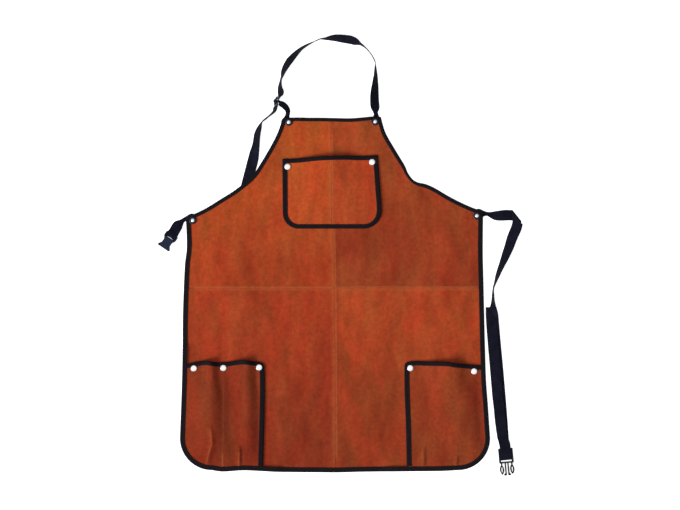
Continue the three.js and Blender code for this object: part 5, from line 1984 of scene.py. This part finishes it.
def laid(rows: Table, per_row: int = 10) -> Rows:
    """Webbing laid on a surface along a table of x, y, tilt in degrees and the height that it lies on.

    The middle stands (width |sin tilt| + thickness |cos tilt|) / 2 over that height. A fifth column gives the
    share of the width that shows where the webbing is gathered.

    Args:
        rows: The table.
        per_row: Steps between two of its rows.

    Returns:
        The rows of webbing.
    """
    table = np.array([row if len(row) == 5 else (*row, 1.0) for row in rows], float)
    path = catmull_rom(table[:, :2], per_row, free_ends=True)
    heading = unit(np.gradient(path, axis=0))
    place = np.linspace(0, len(table) - 1, len(path))
    tilt = np.radians(np.interp(place, np.arange(len(table)), table[:, 2]))
    lift = np.interp(place, np.arange(len(table)), table[:, 3])
    width = LAYERS.webbing_width * np.interp(place, np.arange(len(table)), table[:, 4])
    stand = (width * np.abs(np.sin(tilt)) + LAYERS.webbing * np.abs(np.cos(tilt))) / 2
    centre = np.column_stack([path, lift + stand])
    flat = np.cos(tilt)
    across = np.column_stack([-heading[:, 1] * flat, heading[:, 0] * flat, np.sin(tilt)])
    return Rows(centre, across * width[:, None] / 2)


def on_hardware(axes: Axes, along: Sequence[float], left: Sequence[float], height: Sequence[float]) -> Rows:
    """Flat rows of webbing at places given in a piece of hardware's own coordinates."""
    centre = axes.at(np.array(along, float), np.array(left, float), np.array(height, float))
    return Rows(centre, np.tile(axes.left * LAYERS.webbing_width / 2, (len(centre), 1)))


def round_bar(
    axes: Axes, along: float, height: float, bar_height: float, from_over: bool, bow: float = 0.0
) -> Rows:
    """Rows half round a bar.

    Args:
        axes: The hardware.
        along: The turn's middle along the pull.
        height: The bar's middle height.
        bar_height: How thick it is.
        from_over: True from over the bar to under it, False the other way.
        bow: How much further the turn reaches at the webbing's two edges.

    Returns:
        The rows.
    """
    radius = bar_height / 2 + LAYERS.gap + LAYERS.webbing / 2
    angle = np.linspace(0.0, math.pi, 25)
    start = radius if from_over else -radius
    rows = on_hardware(
        axes, along + radius * np.sin(angle), np.zeros(angle.shape), height + start * np.cos(angle)
    )
    return Rows(rows.centre, rows.edge, np.sin(angle)[:, None] * axes.forward * bow)


@dataclass
class Straps:
    """Neck strap, neck tab, both waist straps and the hardware on them."""

    bench: Workbench
    neck_rows: Table = (
        (73.6, 303.2, 0, 1.1), (76.2, 315.4, 0, 1.1), (78.0, 324.0, 0, 1.1, 0.62),
        (78.0, 330.0, 0, 1.1, 0.38), (77.0, 334.0, 8, 0.6, 0.42), (76.5, 341.0, 18, 0, 0.84),
        (75.4, 348.7, 31, 0), (75.0, 356.3, 35, 0), (74.9, 363.9, 36, 0), (75.2, 371.5, 42, 0),
        (75.7, 379.1, 46.5, 0), (76.3, 386.7, 55, 0), (76.6, 394.3, 62, 0), (77.1, 401.9, 69.5, 0),
        (77.0, 409.5, 75, 0), (76.7, 417.1, 80.5, 0), (76.4, 424.7, 88.5, 0), (74.5, 432.5, 89, 0),
        (66.9, 445.2, 87, 0), (57.4, 455.7, 88, 0), (47.9, 462.8, 96, 0), (38.6, 467.3, 127, 0),
        (29.3, 470.6, 135, 0), (20.0, 472.0, 133.5, 0), (10.5, 473.2, 129, 0), (1.0, 474.1, 121.5, 0),
        (-8.5, 473.7, 110, 0), (-18.0, 472.5, 95, 0), (-27.5, 472.2, 86, 0), (-37.0, 468.2, 85, 0),
        (-46.5, 463.9, 79, 0), (-56.0, 459.0, 73, 0), (-65.5, 452.6, 67.5, 0), (-75.0, 443.5, 56, 0),
        (-84.7, 432.9, 46.5, 0), (-90.3, 424.7, 50.5, 0), (-94.6, 417.1, 54.5, 0), (-97.9, 409.5, 63, 0),
        (-99.9, 401.9, 75, 0), (-102.6, 394.3, 81, 0), (-103.8, 386.7, 74, 0), (-104.2, 379.1, 65, 0.3),
        (-102.6, 371.5, 53, 0.8), (-103.0, 365.6, 62, 1.6),
    )
    neck_tail_rows: Table = (
        (-113.4, 341.6, 66, 1.2), (-114.1, 336.6, 69, 0.6), (-118.0, 332.0, 75, 0.4),
        (-125.2, 325.9, 81, 0), (-132.3, 320.2, 79, 0), (-139.0, 314.2, 83, 0), (-143.5, 303.1, 62, 0),
        (-147.2, 291.7, 51.5, 0), (-148.7, 280.3, 50, 0), (-150.2, 268.9, 43, 0), (-152.8, 257.5, 27, 0),
        (-155.0, 246.0, 10, 0), (-158.6, 231.8, 0, 0), (-177.0, 161.0, 0, 0),
    )
    tab_rows: Table = (
        (-86.4, 303.5, 0, 1.1), (-93.0, 314.6, 0, 1.1), (-91.8, 321.6, 0, 1.1, 0.6),
        (-90.6, 327.3, 0, 1.1, 0.38), (-89.3, 333.5, 28, 0, 0.45), (-90.9, 339.6, 44, 0, 0.7),
        (-96.4, 346.0, 52, 0, 0.92), (-101.6, 349.2, 56, 0.6), (-105.4, 350.9, 62, 1.0),
    )
    waist_left_rows: Table = (
        (-258.2, 127.4, 0, 1.1), (-268.0, 130.2, 0, 1.1), (-275.0, 131.6, 0, 1.1),
        (-279.6, 131.6, 0, 1.1, 0.6), (-286.0, 130.0, 0, 1.1, 0.37), (-290.2, 127.0, 0, 1.0, 0.42),
        (-293.8, 123.4, 4, 0.9, 0.68), (-297.4, 119.8, 8, 0.9, 0.98), (-300.4, 115.8, 8, 1.4, 1.0),
        (-304.4, 108.6, 6, 2.4, 1.0),
    )
    waist_right_rows: Table = (
        (258.5, 135.5, 0, 1.1), (270.0, 139.6, 0, 1.1), (275.0, 140.8, 0, 1.1),
        (279.6, 141.2, 0, 1.1, 0.68), (284.2, 141.2, 0, 1.1, 0.44), (289.0, 140.8, 0, 0.9, 0.35),
        (292.6, 139.9, 0, 0.3, 0.42), (298.3, 138.5, 0, 0, 0.66), (304.0, 137.5, 8, 0, 0.84),
        (309.7, 137.1, 10, 0, 0.92), (315.4, 137.6, 12, 0, 0.98), (321.1, 137.9, 10, 0, 1.0),
        (327.4, 138.4, 4, 0, 0.99),
    )
    waist_drop_rows: Table = (
        (346.4, 123.8, 0, 6.0, 0.98), (344.0, 113.4, 8, 2.0), (338.8, 101.7, 16, 0.8), (334.4, 90.3, 24, 0),
        (330.5, 78.9, 33, 0), (326.0, 67.5, 41, 0), (321.4, 56.1, 51, 0), (316.5, 44.7, 61, 0),
        (311.7, 33.3, 68, 0), (307.4, 21.9, 74.5, 0), (303.6, 10.5, 85, 0), (300.0, -1.0, 91, 0),
        (299.5, -12.4, 85, 0), (299.5, -23.8, 79, 0), (299.7, -33.0, 65, 0, 0.92),
        (299.7, -42.0, 40, 0, 0.95), (300.4, -56.0, 8, 0), (304.2, -98.8, 0, 0), (309.4, -153.9, 0, 0),
        (316.0, -231.8, 0, 0), (320.2, -290.0, 0, 0),
    )
    waist_tail_rows: Table = (
        (318.2, -284.0, 0, 2.2), (313.8, -252.0, 0, 1.7), (311.6, -229.0, 0, 1.7), (308.9, -206.0, 0, 1.7),
        (306.9, -183.0, 0, 1.7), (304.8, -158.0, 0, 1.7), (299.0, -90.0, 0, 1.7), (296.7, -56.0, 0, 2.2),
        (296.2, -36.0, 0, 4.4),
    )
    fold_place: Pair = (341.2, 134.4)
    fold_radius: float = 4.5
    fold_from: Pair = (0.994, 0.11)
    fold_heading: Pair = (-0.33, -0.944)
    fold_share: float = 1.06
    slider_node: Axes = Axes((-107.2, 356.6), (-0.322, -0.947))
    slider: Axes = Axes((-110.4, 354.0), (-0.26, -0.966))
    slider_lean: float = 15.5
    slider_lift: float = 2.4
    slider_width: float = 26.0
    slider_thickness: float = 2.2
    slider_over: float = 3.6
    slider_loop: float = 1.7
    tab_slack: float = 0.05
    slot_reach: float = 8.0
    slots: Pair = (2.1, 5.4)
    socket: Axes = Axes((-308.8, 101.7), (-0.558, -0.83))
    socket_height: float = 8.0
    socket_bar: Pair = (3.0, 3.0)
    socket_slack: float = 1.4
    socket_bow: float = 2.4
    socket_over: Pair = (-2.0, 0.4)
    socket_under: Table = ((-1.5, -5.0), (1.5, 0.8))
    socket_stretch: Triple = (1.08, 1.5, 1.1)
    socket_flare: Pair = (14.0, 29.0)
    prongs_knots: tuple[tuple[float, ...], tuple[float, ...]] = ((-20, 25.3, 29, 60), (-20, 24.9, 26.8, 60))
    prongs_spread: float = 1.03
    prongs_lift: float = 0.5
    prongs: Axes = Axes((323.2, -305.0), (0.093, -0.996))
    prongs_bar: Triple = (15.4, 3.4, 3.0)
    prongs_bar_height: float = 3.2
    prongs_slack: float = 0.1
    prongs_down: Triple = (-5.0, 6.0, 14.0)
    prongs_back: Triple = (8.0, -1.5, -10.0)
    prongs_sink: float = 1.6
    # Painted shade on webbing that stands on edge, by the square of its upright lean.
    upright_shade: float = 0.4
    pitch: float = 1.3
    column_pitch: float = 1.1
    softening: int = 2

    def build(self) -> None:
        """Every strap and every piece of hardware."""
        self._strap("neck_strap", self._neck_strap())
        self._strap("neck_tab", self._neck_tab())
        self._strap("waist_strap_left", self._waist_left())
        self._strap("waist_strap_right", self._waist_right())
        hardware = (
            ("neck_slider", MOULDED, 0.45, 0.0, self._slider_place),
            ("buckle_socket", MOULDED, 0.7, 0.0, self._socket_place),
            ("buckle_prongs", MOULDED_PRONGS, 0.4, 0.6, self._prongs_place),
        )
        for name, finish, bevel, swell, move in hardware:
            piece = self.bench.moulded(f"moulded_{name}", name, bevel, swell, move)
            self.bench.finish(piece, finish, name)

    def _strap(self, node: str, rows: Rows) -> None:
        """One strap: a ribbon across its rows, with rounded selvedges and painted shade where it stands on
        edge.

        Args:
            node: The node that it stands for.
            rows: Its rows.
        """
        full, radius = LAYERS.webbing_width, LAYERS.webbing / 2
        across = stations(full, self.column_pitch, radius)
        middle, lengths = rows.refined(self.pitch, self.softening).surface(2 * across / full - 1)
        sides = rim(np.minimum(across, full - across), radius)
        ends = rim(np.minimum(lengths, lengths[-1] - lengths), radius)
        thickness = LAYERS.webbing * sides[None, :] * ends[:, None]
        places = np.dstack(np.broadcast_arrays(across[None, :], lengths[:, None]))
        # Painted shade, growing with the square of how far the webbing's width stands up.
        rise = unit(middle[:, -1] - middle[:, 0])[:, 2:]
        masks = {"shade": np.broadcast_to(self.upright_shade * rise**2, thickness.shape)}
        piece = self.bench.ribbon(f"webbing_{node}", middle, thickness, places, masks=masks)
        self.bench.finish(piece, WEBBING, node)

    def _slider_place(self, points: Array) -> Array:
        """Corners of the slider, moved and leaned over."""
        return self._leaned(*self.slider_node.local(points))

    def _socket_place(self, points: Array) -> Array:
        """Corners of the socket, drawn out along the pull and flared across it.

        Args:
            points: Where the solid has them.

        Returns:
            Where the piece has them.
        """
        along, left, height = self.socket.local(points)
        stretch, back, widest = self.socket_stretch
        flare = lerp(1.0, widest, smoothstep(along, *self.socket_flare))
        return self.socket.at(along * stretch - back, left * flare, height)

    def _prongs_place(self, points: Array) -> Array:
        """Corners of the prongs, a little wider and higher and with a narrower crossbar.

        Args:
            points: Where the solid has them.

        Returns:
            Where the piece has them.
        """
        along, left, height = self.prongs.local(points)
        along = np.interp(along, *self.prongs_knots)
        return self.prongs.at(along, left * self.prongs_spread, height + self.prongs_lift)

    def _leaned(self, along: Array, left: Array, height: Array) -> Array:
        """Layout points from the slider's own coordinates, leaned over about the line of its pull.

        Args:
            along: Distance along the pull.
            left: Distance across.
            height: Height over the slider's foot.

        Returns:
            The points.
        """
        lean = math.radians(self.slider_lean)
        across = left * math.cos(lean) + (height - self.slider_width / 2) * math.sin(lean)
        up = height * math.cos(lean) - left * math.sin(lean) + self.slider_lift
        return self.slider.at(along, across, up)

    def _in_slider(self, along: Array, left: Array) -> Rows:
        """Rows of webbing standing on edge in the slider.

        Args:
            along: Place of each row along the pull.
            left: Its place across.

        Returns:
            The rows.
        """
        low = (self.slider_width - LAYERS.webbing_width) / 2
        lower = self._leaned(along, left, np.full(np.shape(along), low))
        upper = self._leaned(along, left, np.full(np.shape(along), self.slider_width - low))
        return Rows((lower + upper) / 2, (upper - lower) / 2)

    def _neck_strap(self) -> Rows:
        """Round the neck, through both slots of the slider over the tab, and on to the loose end.

        Returns:
            The rows.
        """
        along = np.linspace(-self.slot_reach, self.slot_reach, 49)
        beside = self.slider_thickness / 2 + LAYERS.gap + LAYERS.webbing / 2
        weave = lerp(-self.slider_over, beside, smoothstep(np.abs(along), *self.slots))
        return laid(self.neck_rows) + self._in_slider(along, weave) + laid(self.neck_tail_rows)

    def _neck_tab(self) -> Rows:
        """From the bib, round the slider's middle bar and back beside itself.

        Returns:
            The rows.
        """
        beside = (LAYERS.webbing + LAYERS.gap) / 2 + self.tab_slack
        angle = np.linspace(0.0, math.pi, 25)
        along = [beside, 1.3, 2.1, *(self.slider_loop * np.cos(angle)), -2.1, -1.3, -beside, -beside]
        left = [4.4, 3.4, 2.0, *(-0.3 - self.slider_loop * np.sin(angle)), 2.0, 4.0, 5.6, 7.0]
        return laid(self.tab_rows) + self._in_slider(np.array(along), np.array(left))

    def _waist_left(self) -> Rows:
        """From the body to the socket, round its bar and sewn back under itself.

        Returns:
            The rows.
        """
        socket, (bar, bar_height) = self.socket, self.socket_bar
        middle = self.socket_height / 2
        over = middle + bar_height / 2 + LAYERS.gap + LAYERS.webbing / 2
        along, sink = self.socket_over
        rows = laid(self.waist_left_rows) + on_hardware(socket, [along], [0.0], [over - sink])
        rows = rows + round_bar(socket, bar + self.socket_slack, middle, bar_height, True, self.socket_bow)
        places, heights = self.socket_under
        return rows + on_hardware(socket, places, [0.0, 0.0], heights)

    def _fold(self) -> Rows:
        """A flat turn: the webbing rolls half round a crease that halves the angle between its two runs.

        Returns:
            The rows.
        """
        heading = unit(np.array([*self.fold_from, 0.0]))
        turned = unit(np.array([*self.fold_heading, 0.0]))
        crease, outward = unit(heading + turned), unit(heading - turned)
        sine = heading @ outward
        slide = (heading @ crease) / sine
        angle = np.linspace(0.0, math.pi, 25)[:, None]
        start = np.array([*self.fold_place, LAYERS.webbing / 2])
        centre = start + crease * (self.fold_radius * (angle - math.pi / 2) * slide)
        centre = centre + outward * (self.fold_radius * np.sin(angle))
        centre = centre + np.array([0.0, 0.0, 1.0]) * (self.fold_radius * (1.0 - np.cos(angle)))
        half = self.fold_share * LAYERS.webbing_width / (2 * sine)
        return Rows(centre, np.tile(-crease * half, (len(centre), 1)))

    def _waist_right(self) -> Rows:
        """Out from the body, over a flat turn, down to the prongs, round their bar and up to a free end.

        Returns:
            The rows.
        """
        second, bar, bar_height = self.prongs_bar
        over = self.prongs_bar_height + bar_height / 2 + LAYERS.gap + LAYERS.webbing / 2
        reach = second + bar + self.prongs_slack
        down = on_hardware(self.prongs, self.prongs_down, [0.0] * 3, [LAYERS.webbing / 2] * 3)
        turn = round_bar(self.prongs, reach, self.prongs_bar_height, bar_height, False)
        heights = [over, over, over - self.prongs_sink]
        back = on_hardware(self.prongs, self.prongs_back, [0.0] * 3, heights)
        drop = (laid(self.waist_drop_rows) + down + turn + back).flipped()
        return laid(self.waist_right_rows) + self._fold() + drop + laid(self.waist_tail_rows)


# Studio


@dataclass(frozen=True)
class Studio:
    """Pale floor, soft light and a camera straight above."""

    frame_width: float = 1.292
    lens: float = 100.0
    sensor: float = 36.0
    far: float = 50.0
    middle: Pair = (9.5, 62.7)
    floor_half: float = 12.0
    floor_level: float = -0.0003
    floor_colour: Colour = (246, 246, 247)
    floor_glow: float = 0.9
    floor_roughness: float = 0.9
    sky_strength: float = 0.2
    key_strength: float = 3.0
    key_azimuth: float = 213.0
    key_height: float = 33.0
    key_spread: float = 32.0
    top_power: float = 60.0
    top_height: float = 4.4
    top_size: float = 4.0

    def build(self, bench: Workbench) -> None:
        """Floor, lights and camera.

        Args:
            bench: The workbench, which knows the layout's place.
        """
        self._floor()
        self._light()
        self._camera(bench)

    def _floor(self) -> None:
        """A plain floor just under the apron."""
        data = bpy.data.meshes.new("floor")
        signs = ((-1, -1), (1, -1), (1, 1), (-1, 1))
        corners = [(x * self.floor_half, y * self.floor_half, self.floor_level) for x, y in signs]
        data.from_pydata(corners, [], [(0, 1, 2, 3)])
        floor = bpy.data.objects.new("floor", data)
        bpy.context.scene.collection.objects.link(floor)
        material = bpy.data.materials.new("Pale floor")
        material.use_nodes = True
        shader = material.node_tree.nodes["Principled BSDF"].inputs
        shader["Base Color"].default_value = rgba(self.floor_colour)
        shader["Roughness"].default_value = self.floor_roughness
        shader["Emission Color"].default_value = rgba(self.floor_colour)
        shader["Emission Strength"].default_value = self.floor_glow
        data.materials.append(material)

    def _light(self) -> None:
        """A soft key low on the left, a broad panel overhead and an even sky."""
        key = bpy.data.lights.new("Key", "SUN")
        key.energy = self.key_strength
        key.angle = math.radians(self.key_spread)
        top = bpy.data.lights.new("Overhead", "AREA")
        top.energy = self.top_power
        top.size = self.top_size
        turned = (math.radians(90.0 - self.key_height), 0.0, math.radians(self.key_azimuth + 90.0))
        for lamp, rotation in ((key, turned), (top, (0.0, 0.0, 0.0))):
            light = bpy.data.objects.new(lamp.name, lamp)
            light.location = (0.0, 0.0, self.top_height)
            light.rotation_euler = rotation
            bpy.context.scene.collection.objects.link(light)
        world = bpy.data.worlds.new("Studio")
        world.use_nodes = True
        sky = world.node_tree.nodes["Background"]
        sky.inputs["Color"].default_value = (1.0, 1.0, 1.0, 1.0)
        sky.inputs["Strength"].default_value = self.sky_strength
        scene = bpy.context.scene
        scene.world = world
        scene.view_settings.view_transform = "Standard"

    def _camera(self, bench: Workbench) -> None:
        """A long lens over the middle of the picture.

        Args:
            bench: The workbench, which knows the layout's place.
        """
        data = bpy.data.cameras.new("Camera")
        data.lens = self.lens
        data.sensor_width = self.sensor
        data.clip_end = self.far
        camera = bpy.data.objects.new("Camera", data)
        x, y, _ = bench.to_row(np.array([*self.middle, 0.0]))
        camera.location = (float(x), float(y), self.frame_width * self.lens / self.sensor)
        bpy.context.scene.collection.objects.link(camera)
        bpy.context.scene.camera = camera


# Assembly

POCKET_RIVETS = {
    "chest_left": (-90.1, 230.1),
    "chest_right": (70.3, 239.0),
    "tool_outer": (-267.7, -152.2),
    "tool_middle": (-211.7, -151.4),
    "tool_inner": (-143.8, -150.5),
    "hand_inner": (142.7, -151.8),
    "hand_outer": (263.9, -157.9),
}
CHEST_MOUTH = ((-99.9, 244.9), (-71.4, 245.9), (-28.9, 249.7), (18.2, 251.2), (49.8, 250.4), (81.3, 252.1))
TOOL_MOUTH = (
    (-296.0, -145.5), (-281.2, -143.8), (-245.1, -137.8), (-214.7, -141.2), (-174.8, -136.4),
    (-153.9, -138.7), (-132.0, -142.6),
)
TOOL_DIVIDER = -211.7
TOOL_INNER = ((-136.9, -352.0), (-134.0, -250.8), (-133.0, -174.8), (-134.9, -130.0))
HAND_MOUTH = (
    (130.0, -142.0), (150.1, -138.7), (176.7, -139.3), (212.8, -139.7), (231.8, -142.5), (277.4, -147.1),
    (296.0, -148.0),
)
HAND_INNER = ((136.4, -352.0), (134.5, -262.2), (131.9, -190.0), (131.9, -130.0))


def pocket_forms(lie: Lie) -> dict[Pocket, PocketForm]:
    """The three pockets' forms over the body."""
    base = lie.outline.base + LAYERS.tape_width
    return {
        Pocket.CHEST: PocketForm(lie, CHEST_MOUTH, 112.8, (Bulge((-81, 61), (-84, 74), 8.5, 0.3),)),
        Pocket.TOOL: PocketForm(
            lie,
            TOOL_MOUTH,
            base,
            (
                Bulge((-259.5, -218.5), (-280, -207), 9.0, 0.45, 1.25),
                Bulge((-203.5, -148), (-209, -142), 9.5, 0.45, 1.5),
            ),
            (
                Stroke((-236.5, -258), (-231.8, -304), 4.5, 2.4),
                Stroke((-231.5, -284), (-245.5, -338), 4.5, 2.8),
                Stroke((-183.0, -294), (-182.6, -344), 4.0, 2.2),
            ),
            # Painted shade: darker suede beside the divider, along the inner tape, in creases and on slopes
            # that face away from the key light.
            (
                Stroke((-218, -120), (-218, -372), 11.5, 0.55),
                Stroke((-204, -130), (-204, -350), 5.5, 0.42),
                Stroke((-154, -150), (-152, -346), 9.0, 0.5),
                Stroke((-227.5, -262), (-226.5, -326), 3.0, 0.3),
                Stroke((-228.0, -296), (-238.0, -340), 2.8, 0.5),
                Stroke((-178.2, -294), (-178.6, -344), 2.4, 0.85),
                Stroke((-170.0, -286), (-166.0, -356), 8.0, 0.25),
            ),
            # Paler tan: partly worn nap along the divider, partly painted highlight on the fold crests.
            (
                Stroke((-237.0, -262), (-232.6, -302), 1.3, 0.3),
                Stroke((-232.4, -288), (-246.5, -340), 1.3, 0.5),
                Stroke((-182.4, -298), (-182.4, -352), 1.2, 0.5),
                Stroke((-213.6, -306), (-213.2, -358), 1.8, 0.5),
                Stroke((-212.5, -150), (-212.5, -340), 1.4, 0.2),
            ),
        ),
        Pocket.HAND: PocketForm(
            lie,
            HAND_MOUTH,
            base,
            (Bulge((151, 257), (149, 278), 10.5, 0.4, 1.5),),
            (Stroke((167.5, -300), (168, -342), 4.0, 1.6), Stroke((230.5, -314), (230, -342), 3.6, 1.4)),
            # Painted shade: darker suede on the right slope and beside two creases.
            (
                Stroke((261, -130), (276, -340), 11.5, 0.68),
                Stroke((171.8, -296), (171.4, -346), 2.6, 0.55),
                Stroke((233.2, -316), (232.8, -341), 1.8, 0.75),
            ),
            # Paler tan: painted highlight on a fold crest.
            (Stroke((166.5, -300), (166.5, -346), 1.3, 0.25),),
        ),
    }


def main() -> None:
    """Sets up the studio and builds the apron on its frame."""
    logging.basicConfig(level=logging.INFO, format="%(name)s: %(message)s")
    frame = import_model()
    bench = Workbench.from_frame(frame, "rivet_tool_middle", POCKET_RIVETS["tool_middle"])
    Studio().build(bench)
    outline = BodyOutline()
    lie = Lie(outline)
    forms = pocket_forms(lie)
    ApronBody(bench, outline, lie, forms[Pocket.TOOL].mouth, forms[Pocket.HAND].mouth).build()
    ChestPocket(bench, forms[Pocket.CHEST]).build()
    tool = (forms[Pocket.TOOL], Pocket.TOOL, Side.LEFT, TOOL_INNER, SUEDE_TOOL, TOOL_DIVIDER)
    hand = (forms[Pocket.HAND], Pocket.HAND, Side.RIGHT, HAND_INNER, SUEDE_HAND)
    for pocket in (tool, hand):
        LowerPocket(bench, outline, *pocket).build()
    Rivets(bench, lie, POCKET_RIVETS, STRAP_RIVETS).build()
    Straps(bench).build()


if __name__ == "__main__":
    main()
